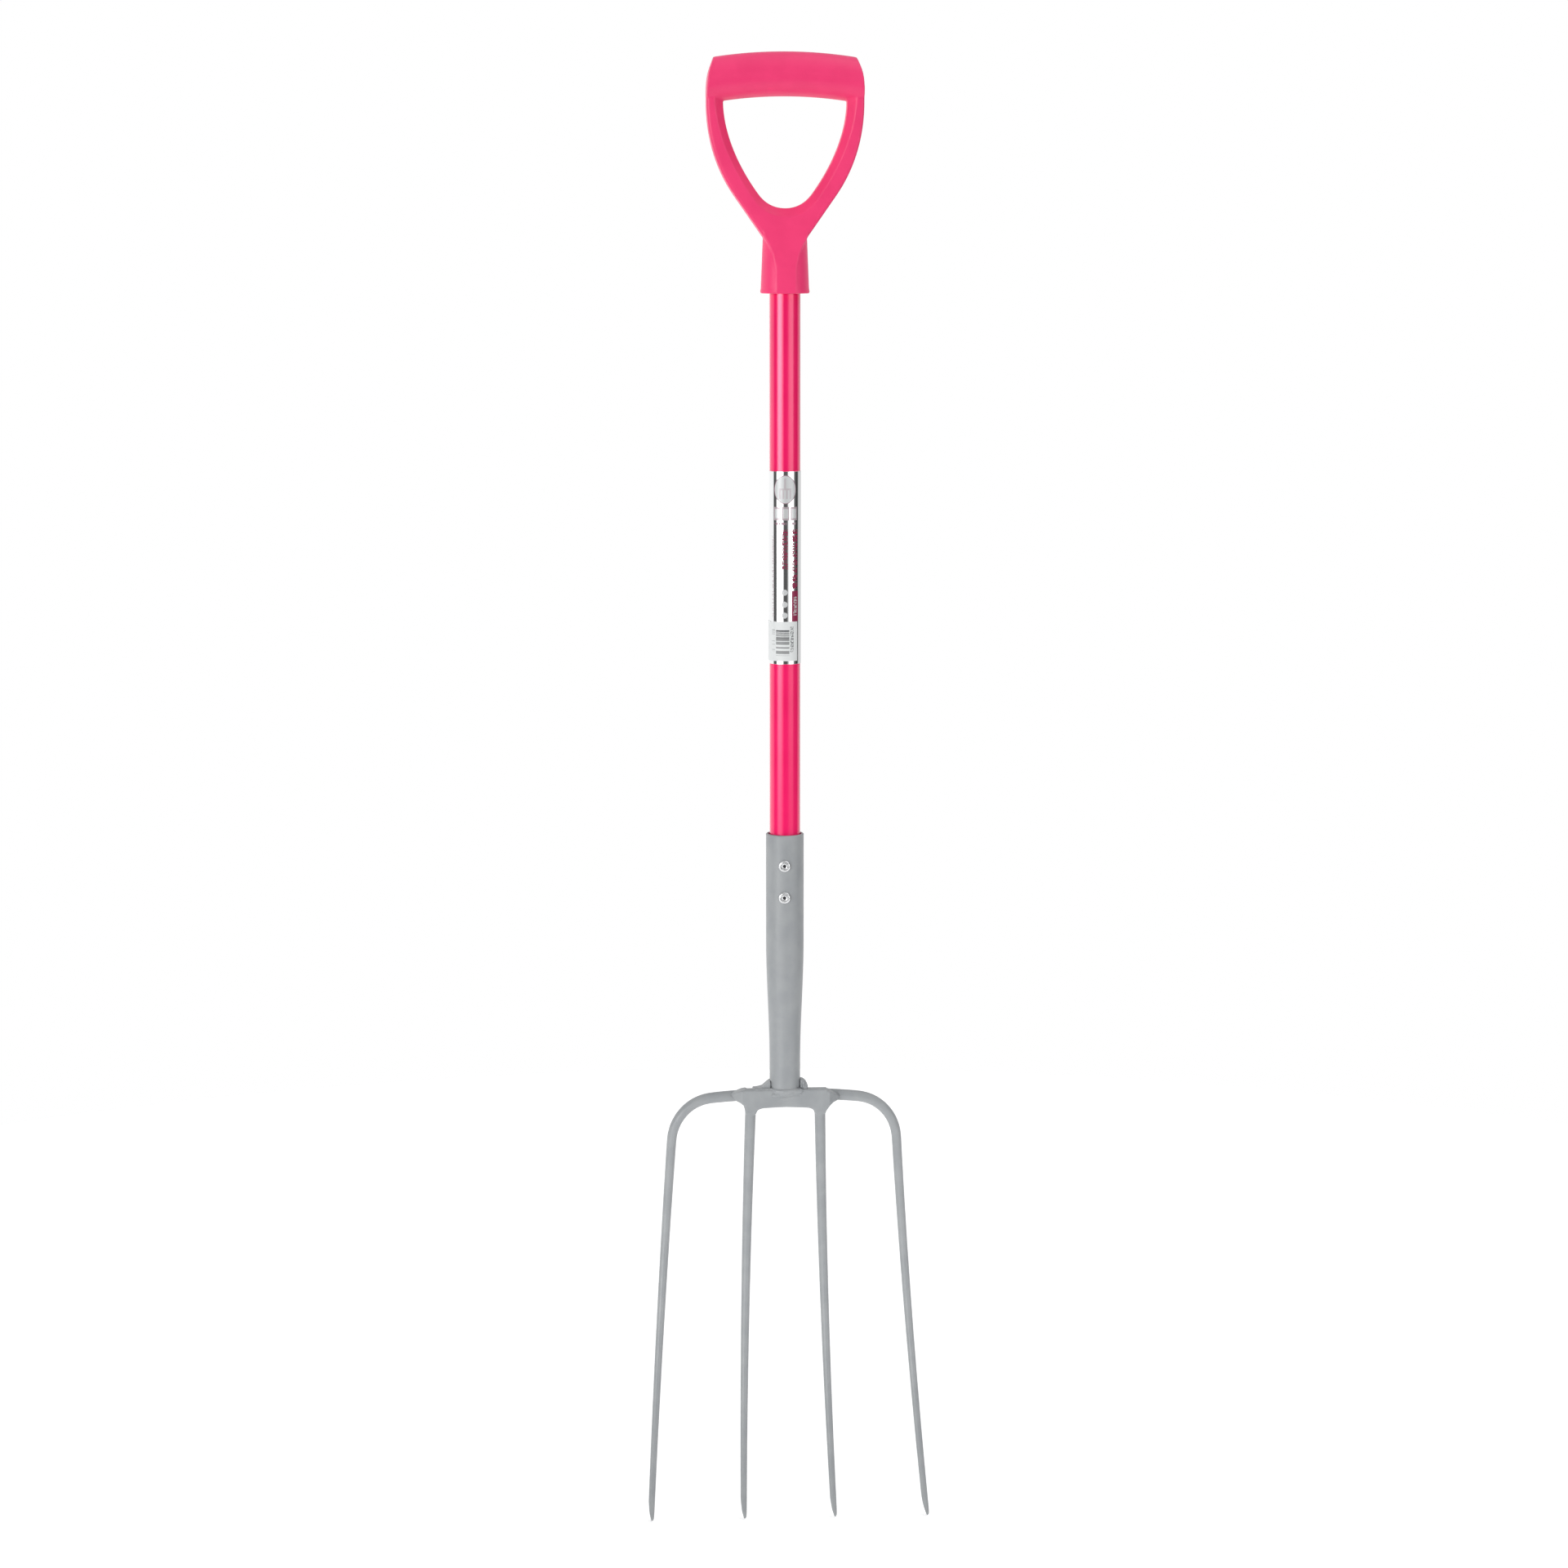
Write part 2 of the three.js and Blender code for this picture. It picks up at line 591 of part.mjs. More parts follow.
// The outer pair: one bar across the back of the crown, bent down at both ends.
function outerTineStations(grow) {
  const shoulderX = SHOULDER_WIDTH / 2;
  const shoulderZ = plateTopZ - SHOULDER_DROP;
  const bendX = shoulderX - SHOULDER_REACH;
  const bendZ = barMiddleZ - BAR_ARCH;
  const splay = (OUTER_TIP_SPACING - SHOULDER_WIDTH) / 2 / (shoulderZ - tipZ);
  const leg = legStations({
    rootX: shoulderX,
    rootZ: shoulderZ,
    tipX: OUTER_TIP_SPACING / 2,
    rootY: barY,
    rootThickness: SHOULDER_THICKNESS,
  });
  const slope = 2 * BAR_ARCH / bendX;
  const barPull = SHOULDER_REACH * 0.6;
  const legPull = SHOULDER_REACH * 0.54;
  const bend = new THREE.CubicBezierCurve(
    new THREE.Vector2(bendX, bendZ),
    new THREE.Vector2(bendX + barPull, bendZ - barPull * slope),
    new THREE.Vector2(shoulderX - legPull * splay, shoulderZ + legPull),
    new THREE.Vector2(shoulderX, shoulderZ),
  );
  const half = [];
  const flatSteps = 5;
  const bendSteps = 9;
  const bendStart = 0.4; // of the way from the bar's size to the tine's
  for (let i = 0; i < flatSteps; i++) {
    const x = bendX * i / flatSteps;
    const z = barMiddleZ - BAR_ARCH * (i / flatSteps) ** 2;
    half.push({ x, z, share: bendStart * i / flatSteps });
  }
  for (let i = 0; i < bendSteps; i++) {
    const point = bend.getPoint(i / bendSteps);
    half.push({ x: point.x, z: point.y, share: bendStart + (1 - bendStart) * i / bendSteps });
  }
  const top = half.map(({ x, z, share }) => ({
    place: new THREE.Vector3(x, barY + dishAt(z), z),
    halfWidth: THREE.MathUtils.lerp(BAR_HEIGHT, SHOULDER_THICKNESS, share) / 2,
    halfDepth: THREE.MathUtils.lerp(BAR_DEPTH, SHOULDER_THICKNESS * TINE_OVAL, share) / 2,
    cut: 0,
  }));
  const right = [...top, ...leg];
  const left = right.slice(1).reverse().map((station) => ({
    ...station,
    place: new THREE.Vector3(-station.place.x, station.place.y, station.place.z),
  }));
  return [...left, ...right].map((station) => ({
    ...station,
    halfWidth: station.halfWidth + grow,
    halfDepth: station.halfDepth + grow,
  }));
}

function outerTines(grow) {
  return barThrough(outerTineStations(grow), TINE_SIDES);
}

// The crown plate in the front view, with the two necks that the inner tines are drawn from. The
// plate's underside between them rises a little to its middle.
function plateShape(grow) {
  const underRise = 0.8;
  const innerRound = 5;
  const halfWidth = plateWidth / 2 + grow;
  const top = plateTopZ + grow;
  const bottom = plateFootZ - grow;
  const neckZ = bottom - NECK_LENGTH;
  const neckHalf = INNER_ROOT_THICKNESS / 2 + grow;
  const inner = INNER_ROOT_SPACING / 2 - neckHalf;
  const outer = INNER_ROOT_SPACING / 2 + neckHalf;
  const half = new THREE.Path();
  half.moveTo(0, top);
  half.lineTo(halfWidth - PLATE_CORNER, top);
  half.quadraticCurveTo(halfWidth, top, halfWidth, top - PLATE_CORNER);
  half.lineTo(halfWidth, bottom + PLATE_CORNER);
  half.quadraticCurveTo(outer, bottom, outer, neckZ);
  half.lineTo(inner, neckZ);
  half.lineTo(inner, bottom - innerRound);
  half.quadraticCurveTo(inner, bottom, inner - innerRound, bottom);
  half.lineTo(0, bottom + underRise);
  return mirrored(half.getPoints(5));
}

function innerTineLeg(side, grow) {
  const rootZ = (plateTopZ + plateFootZ) / 2;
  const stations = legStations({
    rootX: side * INNER_ROOT_SPACING / 2,
    rootZ,
    tipX: side * INNER_TIP_SPACING / 2,
    rootY: plateY,
    rootThickness: INNER_ROOT_THICKNESS,
  });
  return toSolid(barThrough(stations.map((station) => ({
    ...station,
    halfWidth: station.halfWidth + grow,
    halfDepth: station.halfDepth + grow,
  })), TINE_SIDES));
}

function innerTines(grow) {
  const plate = toSolid(slab(plateShape(grow), PLATE_THICKNESS + 2 * grow, plateY, PLATE_EDGE));
  return plate.add(innerTineLeg(-1, grow)).add(innerTineLeg(1, grow));
}

// ---- Welds ----

// Everything that a weld lies against, each piece swollen by the gap.
function weldNeighbours() {
  const footRadius = socketFootRadius + GAP;
  const foot = toSolid(turned([
    [0, socketFootZ - GAP],
    [footRadius, socketFootZ - GAP],
    [footRadius, socketFootZ + SOCKET_FOOT_LENGTH],
    [0, socketFootZ + SOCKET_FOOT_LENGTH],
  ], TUBE_SIDES));
  return foot.add(toSolid(outerTines(GAP))).add(innerTines(GAP));
}

const neighbours = weldNeighbours();

// What is left of a weld's blank once the pieces it lies against are cut out of it.
function fitted(blank) {
  const pieces = blank.subtract(neighbours).decompose();
  pieces.sort((a, b) => b.volume() - a.volume());
  return toGeometry(pieces[0]);
}

// A weld's blank drawn in the front view, between two places front and back.
function weldBlank(shape, frontY, backY, edge) {
  return toSolid(slab(shape, backY - frontY, (frontY + backY) / 2, edge));
}

// The three-cornered run of weld beside the socket's foot, on its left.
function socketWeldLeft() {
  const shape = new THREE.Shape();
  const nearX = -socketFootRadius + WELD_SINK;
  const farX = -socketFootRadius - LEG_WELD_REACH;
  const topZ = plateTopZ + LEG_WELD_HEIGHT;
  const footZ = plateTopZ - WELD_SINK;
  const hollowX = farX + LEG_WELD_REACH * 0.55;
  const hollowZ = plateTopZ + LEG_WELD_HEIGHT * 0.2;
  const blunt = 1.9;
  shape.moveTo(nearX, footZ);
  shape.lineTo(farX, footZ);
  shape.lineTo(farX, footZ + blunt);
  shape.quadraticCurveTo(hollowX, hollowZ, nearX - blunt, topZ - blunt);
  shape.lineTo(nearX, topZ);
  return fitted(weldBlank(shape, LEG_WELD_FRONT, LEG_WELD_BACK, 1));
}

// The rounded lug of weld on its right.
function socketWeldRight() {
  const shape = new THREE.Shape();
  const nearX = socketFootRadius - WELD_SINK;
  const farX = socketFootRadius + LUG_WELD_REACH;
  const topZ = plateTopZ + LUG_WELD_HEIGHT;
  const footZ = plateTopZ - WELD_SINK;
  const roundness = LUG_WELD_REACH * 0.45;
  shape.moveTo(nearX, footZ);
  shape.lineTo(nearX, topZ);
  shape.bezierCurveTo(nearX + roundness, topZ, farX, topZ - roundness, farX, topZ - 3 * roundness);
  shape.lineTo(farX, footZ);
  return fitted(weldBlank(shape, LUG_WELD_FRONT, LUG_WELD_BACK, 0.8));
}

// A bead round the front or the back of the foot. `facing` is -1 for the front.
function footBead(facing) {
  const stations = [];
  const radius = socketFootRadius - BEAD_SINK;
  const beadZ = plateTopZ - BEAD_DROP;
  const half = BEAD_DIAMETER / 2;
  const count = 10;
  for (let i = 0; i <= count; i++) {
    const angle = radians(BEAD_DEGREES * (i / count - 0.5));
    const x = radius * Math.sin(angle);
    const y = facing * radius * Math.cos(angle);
    stations.push({ place: new THREE.Vector3(x, -beadZ, y), halfWidth: half, halfDepth: half, cut: 0 });
  }
  return fitted(toSolid(barThrough(stations, BEAD_SIDES).rotateX(-Math.PI / 2)));
}

// The fillet that joins an end of the plate to the bar behind and fills the corner under it. It runs
// from just behind the plate's face to just behind the bar's.
function crownWeld(side) {
  const shape = new THREE.Shape();
  const plateEnd = plateWidth / 2;
  const rimX = plateEnd + CORNER_WELD_REACH;
  const rootX = plateEnd - WELD_SINK;
  const topZ = plateTopZ - CORNER_WELD_DROP;
  const footZ = plateFootZ - CORNER_WELD_FOOT;
  const frontY = plateY - PLATE_THICKNESS / 2 + CORNER_WELD_SINK;
  const backY = barY - BAR_DEPTH / 2 + 1;
  shape.moveTo(side * rootX, topZ);
  shape.lineTo(side * (rimX - CORNER_WELD_REACH * 0.3), topZ - CORNER_WELD_DROP);
  shape.lineTo(side * rimX, topZ - 2 * CORNER_WELD_DROP);
  shape.lineTo(side * (plateEnd + CORNER_WELD_FILLET), plateFootZ + CORNER_WELD_DROP);
  shape.quadraticCurveTo(side * (plateEnd + 2), plateFootZ, side * (plateEnd + 0.5), footZ);
  shape.lineTo(side * rootX, footZ);
  return fitted(weldBlank(shape, frontY, backY, 0.6));
}

// ---- Finishes ----

function finish(color, roughness, metalness) {
  return new THREE.MeshStandardMaterial({ color, roughness, metalness });
}

const assembly = new THREE.Group();

function addPiece(name, geometry, material) {
  const mesh = new THREE.Mesh(geometry, material);
  mesh.name = name;
  assembly.add(mesh);
}

const PINK_PLASTIC = [0xf24a7c, 0.55, 0];
const PINK_GLOSS = [0xf03070, 0.18, 0];
const GREY_PAINT = [0xa2a7a9, 0.45, 0.1];
const ALUMINIUM = [0xd5d7da, 0.28, 1];
const STEEL = [0x9a9c9f, 0.35, 1];

addPiece('d_handle', toGeometry(handleSolid()), finish(...PINK_PLASTIC));
addPiece('handle_screw', handleScrew(), finish(...STEEL));
addPiece('shaft_tube', shaftTube(), finish(...PINK_GLOSS));
addPiece('foil_label', foilLabel(), finish(0xd0d2d6, 0.2, 1));
addPiece('barcode_sticker', barcodeSticker(), finish(0xf2f2f0, 0.5, 0));
addPiece('socket', socketSolid(), finish(...GREY_PAINT));
['upper', 'lower'].forEach((which, index) => {
  addPiece(`rivet_${which}`, rivetBody(rivetHeights[index]), finish(...ALUMINIUM));
  addPiece(`rivet_${which}_stem`, rivetStem(rivetHeights[index]), finish(...STEEL));
});
addPiece('outer_tines', outerTines(0), finish(...GREY_PAINT));
addPiece('inner_tines', toGeometry(innerTines(0)), finish(...GREY_PAINT));
addPiece('socket_weld_left', socketWeldLeft(), finish(...GREY_PAINT));
addPiece('socket_weld_right', socketWeldRight(), finish(...GREY_PAINT));
addPiece('socket_weld_front', footBead(-1), finish(...GREY_PAINT));
addPiece('socket_weld_back', footBead(1), finish(...GREY_PAINT));
addPiece('crown_weld_left', crownWeld(-1), finish(...GREY_PAINT));
addPiece('crown_weld_right', crownWeld(1), finish(...GREY_PAINT));

export default assembly;
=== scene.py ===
# Looks of a long-tined garden fork with a moulded D-handle, built round its CAD frame.
# Metres, +Z up along the shaft, +X to the right, -Y to the front. The origin is the middle of the grip.
import math

import bpy
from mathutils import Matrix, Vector


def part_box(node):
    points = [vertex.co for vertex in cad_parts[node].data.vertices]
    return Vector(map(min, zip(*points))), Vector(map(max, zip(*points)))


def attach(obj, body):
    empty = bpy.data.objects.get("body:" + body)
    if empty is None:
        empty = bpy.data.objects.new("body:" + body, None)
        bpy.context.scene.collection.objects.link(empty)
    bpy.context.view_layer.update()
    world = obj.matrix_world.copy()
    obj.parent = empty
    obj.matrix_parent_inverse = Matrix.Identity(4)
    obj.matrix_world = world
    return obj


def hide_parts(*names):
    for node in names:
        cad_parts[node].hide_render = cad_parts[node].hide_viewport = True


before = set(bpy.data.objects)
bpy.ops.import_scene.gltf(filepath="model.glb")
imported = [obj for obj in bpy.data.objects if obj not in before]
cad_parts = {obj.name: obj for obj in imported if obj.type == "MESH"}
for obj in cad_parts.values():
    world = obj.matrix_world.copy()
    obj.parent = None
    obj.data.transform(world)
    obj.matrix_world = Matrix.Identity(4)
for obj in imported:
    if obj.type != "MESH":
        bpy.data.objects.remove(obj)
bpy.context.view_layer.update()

# ---- Sizes, in metres ----
CLEARANCE = 0.0003

# The D-handle. The grip's centre line is an arc, and GRIP_LOW is its underside in the middle.
GRIP_ARCH_RADIUS = 0.355
GRIP_LOW = -0.0176
GRIP_STEPS = 24
CORNER_X = 0.057
OPENING_X = 0.0494
OPENING_BOTTOM = -0.1053
OPENING_FOOT_X = 0.0214
OPENING_FOOT_HEIGHT = 0.011
ARM_HALF_DEPTH = 0.012
ARM_EDGE = 0.002
ARM_BEVEL = 0.0055
BEVEL_SPREAD = 1.25
ARM_TOP = -0.004
COLLAR_TOP = -0.128
COLLAR_TOP_RADIUS = 0.0177
COLLAR_FOOT_RADIUS = 0.0198
COLLAR_BORE = 0.0128
WEB_FOOT = -0.116
SCREW_SEAT_Y = 0.0165
SCREW_SEAT_RADIUS = 0.0046
MOULDING_GRAIN = 0.00075

# The shaft, its labels, the socket and the rivets
TUBE_WALL = 0.001
FOIL_LIFT = 0.00003
STICKER_LIFT = 0.00004
STICKER_THICKNESS = 0.00024
STICKER_START = math.radians(-105)
STICKER_SWEEP = math.radians(150)
SOCKET_WALL = 0.0018
SOCKET_STRAIGHT = 0.09
SOCKET_TAPER = 0.1
SOCKET_FOOT_RADIUS = 0.0126
RIVET_TURN = math.radians(-4.5)
RIVET_BORE = 0.00135
RIVET_SHANK = 0.0024
RIVET_DEPTH = 0.004
PIN_RADIUS = 0.0013
PIN_DEPTH = 0.005

# The crown and the tines. The outer tines' bar lies TINES_Y behind the middle, and the inner tines as far
# in front of it. All of them lean back from DISH_TOP, then sweep forward to their points.
PLATE_TOP = -0.8227
PLATE_HEIGHT = 0.015
PLATE_HALF_DEPTH = 0.0048
PLATE_HALF_WIDTH = 0.035
TINES_Y = 0.00495
INNER_TINE_HALF = 0.0047
DISH_TOP = PLATE_TOP - 0.0225
TIP = PLATE_TOP - 0.351
LEAN_BACK = math.sin(math.radians(-9))
SWEEP_FORWARD = math.sin(math.radians(28))
DISH_RADIUS = (DISH_TOP - TIP) / (SWEEP_FORWARD - LEAN_BACK)
TIP_HALF = 0.00265
OVAL = 1.08
FORGING_GRAIN = 0.0006

# The welds
WELD_GRAIN = 0.0004
BEAD_GRAIN = 0.00035
CROWN_WELD_SLOPE = 1.25
CROWN_WELD_SHOULDER = PLATE_HALF_WIDTH + 0.0012

# ---- Studio: the camera's angles are in degrees, to the right and down ----
CAMERA_YAW = 3.6
CAMERA_PITCH = 8.5
CAMERA_DISTANCE = 3.0
CAMERA_LENS = 84.4
CAMERA_AIM = Vector((-0.0007, 0, -0.5695))
FLOOR_RADIUS = 1.6
LEFT_BOX_LIGHT = 7.6
RIGHT_BOX_LIGHT = 2.7

# ---- The frame's boxes, which give the rest ----
handle_low, handle_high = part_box("d_handle")
tube_low, tube_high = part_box("shaft_tube")
label_low, label_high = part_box("foil_label")
sticker_low, sticker_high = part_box("barcode_sticker")
socket_low, socket_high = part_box("socket")
bar_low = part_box("outer_tines")[0]
screw_low, screw_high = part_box("handle_screw")


# ======== Making meshes ========

def rest_hands():
    """Object mode, with nothing selected."""
    if bpy.context.object and bpy.context.object.mode != "OBJECT":
        bpy.ops.object.mode_set(mode="OBJECT")
    bpy.ops.object.select_all(action="DESELECT")


def settled(name):
    """Names the piece in hand and lets its place pass into its mesh."""
    rest_hands()
    piece = bpy.context.object
    piece.select_set(True)
    bpy.ops.object.transform_apply(location=True, rotation=True, scale=True)
    piece.name = name
    piece.data.name = name
    return piece


def take(piece):
    """Makes a piece the only one selected and the active one."""
    rest_hands()
    piece.select_set(True)
    bpy.context.view_layer.objects.active = piece


def pick(piece, kind, test):
    """Opens a piece for editing with only the corners, edges or faces chosen whose places pass the test."""
    take(piece)
    bpy.ops.object.mode_set(mode="EDIT")
    bpy.ops.mesh.select_mode(type=kind)
    bpy.ops.mesh.select_all(action="DESELECT")
    bpy.ops.object.mode_set(mode="OBJECT")
    mesh = piece.data
    parts = {"VERT": mesh.vertices, "EDGE": mesh.edges, "FACE": mesh.polygons}[kind]
    for part in parts:
        corners = [part.index] if kind == "VERT" else part.vertices
        part.select = test([mesh.vertices[corner].co for corner in corners])
    bpy.ops.object.mode_set(mode="EDIT")


def modified(piece, kind, **settings):
    """Adds one modifier, sets it and applies it."""
    take(piece)
    bpy.ops.object.modifier_add(type=kind)
    modifier = piece.modifiers[-1]
    for setting, value in settings.items():
        setattr(modifier, setting, value)
    bpy.ops.object.modifier_apply(modifier=modifier.name)
    return piece


def combined(piece, other, operation):
    """Cuts, joins or keeps the overlap of two closed pieces, and clears the second away."""
    modified(piece, "BOOLEAN", operation=operation, solver="EXACT", object=other)
    bpy.data.objects.remove(other)
    return piece


def joined(name, pieces):
    """Several meshes as one piece."""
    rest_hands()
    for piece in pieces:
        piece.select_set(True)
    bpy.context.view_layer.objects.active = pieces[0]
    bpy.ops.object.join()
    return settled(name)


def fused(piece, grain, soften):
    """Melts overlapping lumps into one skin and softens its edges."""
    modified(piece, "REMESH", mode="VOXEL", voxel_size=grain)
    if soften:
        modified(piece, "SMOOTH", factor=0.5, iterations=soften)
    take(piece)
    bpy.ops.object.shade_smooth()
    return piece


def facing_out(piece):
    """Merges doubled corners and turns every face outwards."""
    take(piece)
    bpy.ops.object.mode_set(mode="EDIT")
    bpy.ops.mesh.select_all(action="SELECT")
    bpy.ops.mesh.remove_doubles(threshold=1e-6)
    bpy.ops.mesh.normals_make_consistent(inside=False)
    rest_hands()
    return piece


def curve_points(a, b, c, d, count):
    """Points along a smooth curve from a to d, without a. It leaves towards b and arrives from c."""
    points = []
    for step in range(1, count + 1):
        t = step / count
        weights = ((1 - t) ** 3, 3 * t * (1 - t) ** 2, 3 * t * t * (1 - t), t ** 3)
        points.append(tuple(sum(w * p[i] for w, p in zip(weights, (a, b, c, d))) for i in (0, 1)))
    return points


def off(point, right, up):
    """A point of an outline, moved right and up."""
    return (point[0] + right, point[1] + up)


def drawn(points):
    """Opens a new mesh holding one line, pulled from corner to corner."""
    rest_hands()
    bpy.ops.mesh.primitive_plane_add(size=0.001, location=(0, 0, 0))
    bpy.ops.object.mode_set(mode="EDIT")
    bpy.ops.mesh.select_mode(type="VERT")
    bpy.ops.mesh.merge(type="CENTER")
    bpy.ops.transform.translate(value=points[0])
    for before, after in zip(points, points[1:]):
        step = Vector(after) - Vector(before)
        bpy.ops.mesh.extrude_vertices_move(TRANSFORM_OT_translate={"value": step})
    bpy.ops.mesh.select_all(action="SELECT")


def filled(name, outline, front, back):
    """A flat plate from its outline (x, z), between two depths."""
    drawn([(x, front, z) for x, z in outline])
    bpy.ops.mesh.edge_face_add()
    bpy.ops.mesh.extrude_region_move(TRANSFORM_OT_translate={"value": (0, back - front, 0)})
    return facing_out(settled(name))


def slab(name, right_half, front, back):
    """A flat plate that is the same on both sides, from the right half of its outline."""
    left_half = [(-x, z) for x, z in reversed(right_half) if x > 1e-6]
    return filled(name, right_half + left_half, front, back)


def turned(name, profile, steps=96):
    """A round piece about the Z axis, from its profile (radius, height)."""
    drawn([(radius, 0, z) for radius, z in profile])
    bpy.ops.mesh.spin(steps=steps, angle=math.tau, center=(0, 0, 0), axis=(0, 0, 1))
    piece = facing_out(settled(name))
    take(piece)
    bpy.ops.object.shade_smooth_by_angle(angle=math.radians(35))
    return piece


def swept(name, stations, sides):
    """A bar pulled from station to station: (place, turn down from +X, half width, half depth)."""
    place, turn, width, depth = stations[0]
    rest_hands()
    bpy.ops.mesh.primitive_circle_add(vertices=sides, radius=1, fill_type="NGON",
                                      rotation=(0, math.pi / 2 + turn, 0), location=place)
    bpy.ops.object.transform_apply(location=True, rotation=True, scale=True)
    bpy.ops.object.mode_set(mode="EDIT")
    bpy.ops.mesh.select_all(action="SELECT")
    bpy.ops.transform.resize(value=(width, depth, width), center_override=place)
    for before, after in zip(stations, stations[1:]):
        place = after[0]
        bpy.ops.mesh.extrude_region_move(TRANSFORM_OT_translate={"value": place - before[0]})
        swing = after[1] - before[1]
        if abs(swing) > 1e-5:
            bpy.ops.transform.rotate(value=-swing, orient_axis="Y", center_override=place)
        wider, deeper = after[2] / before[2], after[3] / before[3]
        bpy.ops.transform.resize(value=(wider, deeper, wider), center_override=place)
    return facing_out(settled(name))


# ======== Materials ========

class Shade:
    """A value that flows through a material, with which plain sums can be written."""

    def __init__(self, tree, socket=None):
        self.tree = tree
        self.socket = socket

    def node(self, kind, settings, values, output=0):
        """One node of a kind, with its settings and the values or links of its sockets."""
        made = self.tree.nodes.new(kind)
        for setting, value in settings.items():
            setattr(made, setting, value)
        for key, value in values.items():
            if isinstance(value, Shade):
                self.tree.links.new(value.socket, made.inputs[key])
            else:
                made.inputs[key].default_value = value
        return Shade(self.tree, made.outputs[output])

    def sum(self, operation, *terms):
        """One step of arithmetic."""
        return self.node("ShaderNodeMath", {"operation": operation}, dict(enumerate(terms)))

    def __add__(self, other):
        return self.sum("ADD", self, other)

    __radd__ = __add__

    def __sub__(self, other):
        return self.sum("SUBTRACT", self, other)

    def __rsub__(self, other):
        return self.sum("SUBTRACT", other, self)

    def __mul__(self, other):
        return self.sum("MULTIPLY", self, other)

    __rmul__ = __mul__

    def __truediv__(self, other):
        return self.sum("DIVIDE", self, other)

    def __gt__(self, other):
        return self.sum("GREATER_THAN", self, other)

    def __lt__(self, other):
        return self.sum("LESS_THAN", self, other)

    def within(self, low, high):
        """1 between two values and 0 outside them."""
        return (self > low) * (self < high)

    def either(self, other):
        """The greater of two values, which is 1 where one mask or the other is."""
        return self.sum("MAXIMUM", self, other)

    def floor(self):
        return self.sum("FLOOR", self)

    def fraction(self):
        return self.sum("FRACT", self)

    def ramp(self, low, high):
        """Rises smoothly from 0 at one value to 1 at the other."""
        settings = {"interpolation_type": "SMOOTHSTEP"}
        return self.node("ShaderNodeMapRange", settings, {0: self, 1: low, 2: high, 3: 0.0, 4: 1.0})

    def band(self, start, full, fading, gone):
        """Rises smoothly from 0 to 1, stays, and falls again."""
        return self.ramp(start, full) * (1.0 - self.ramp(fading, gone))

    def tint(self, below, above):
        """A colour between two, by this value."""
        return self.node("ShaderNodeMix", {"data_type": "RGBA"}, {0: self, 6: below, 7: above}, 2)


class Finish:
    """One material: its surface shader and the values that its patterns start from."""

    def __init__(self, name, **constants):
        self.material = bpy.data.materials.new(name)
        self.material.use_nodes = True
        tree = self.material.node_tree
        self.shader = tree.nodes["Principled BSDF"]
        for socket, value in constants.items():
            self.shader.inputs[socket.replace("_", " ")].default_value = value
        self.start = Shade(tree)
        self.point = self.start.node("ShaderNodeTexCoord", {}, {}, "Object")
        split = self.start.node("ShaderNodeSeparateXYZ", {}, {0: self.point}).socket.node
        self.x, self.y, self.z = (Shade(tree, output) for output in split.outputs)

    def stretched(self, x, y, z):
        """The place on the piece, scaled along each axis."""
        return self.start.node("ShaderNodeMapping", {}, {"Vector": self.point, "Scale": (x, y, z)})

    def cloud(self, scale, detail=3.0, place=None):
        """Soft random variation between 0 and 1."""
        values = {"Vector": place or self.point, "Scale": scale, "Detail": detail}
        return self.start.node("ShaderNodeTexNoise", {}, values)

    def set(self, socket, value):
        self.start.tree.links.new(value.socket, self.shader.inputs[socket])

    def relief(self, height, strength, distance):
        """Fine relief on the surface."""
        values = {"Height": height, "Strength": strength, "Distance": distance}
        self.set("Normal", self.start.node("ShaderNodeBump", {}, values))


def colour(red, green, blue):
    return (red, green, blue, 1.0)


def handle_plastic():
    """Matt moulded plastic: fine spark-eroded grain, faint cloudiness and two round ejector marks."""
    finish = Finish("handle_plastic", Specular_IOR_Level=0.4)
    clouding = finish.cloud(45.0).ramp(0.3, 0.7)
    finish.set("Base Color", clouding.tint(colour(0.91, 0.040, 0.176), colour(0.96, 0.047, 0.192)))
    finish.set("Roughness", 0.34 + 0.14 * finish.cloud(260.0))
    marks = []
    line = 0.0004
    for x, z, radius in ((0.0, -0.117, 0.0016), (0.057, -0.033, 0.0018)):
        across = finish.x - x
        along = finish.z - z
        away = across * across + along * along
        marks.append(away.within((radius - line) ** 2, radius ** 2))
    finish.relief(finish.cloud(2600.0, 2.0) * 0.2 + marks[0].either(marks[1]), 0.35, 0.0003)
    return finish.material


def shaft_gloss():
    """High-gloss coating over a drawn tube: a clear coat with a faint orange-peel ripple."""
    pink_sheen = colour(1.0, 0.12, 0.38)
    finish = Finish("shaft_gloss", Specular_Tint=pink_sheen, Coat_Weight=1.0, Coat_Roughness=0.04)
    depth = finish.cloud(30.0).ramp(0.3, 0.7)
    finish.set("Base Color", depth.tint(colour(0.88, 0.01, 0.125), colour(0.93, 0.013, 0.14)))
    finish.set("Roughness", 0.16 + 0.1 * finish.cloud(90.0))
    finish.relief(finish.cloud(420.0, 1.0), 0.05, 0.0003)
    return finish.material


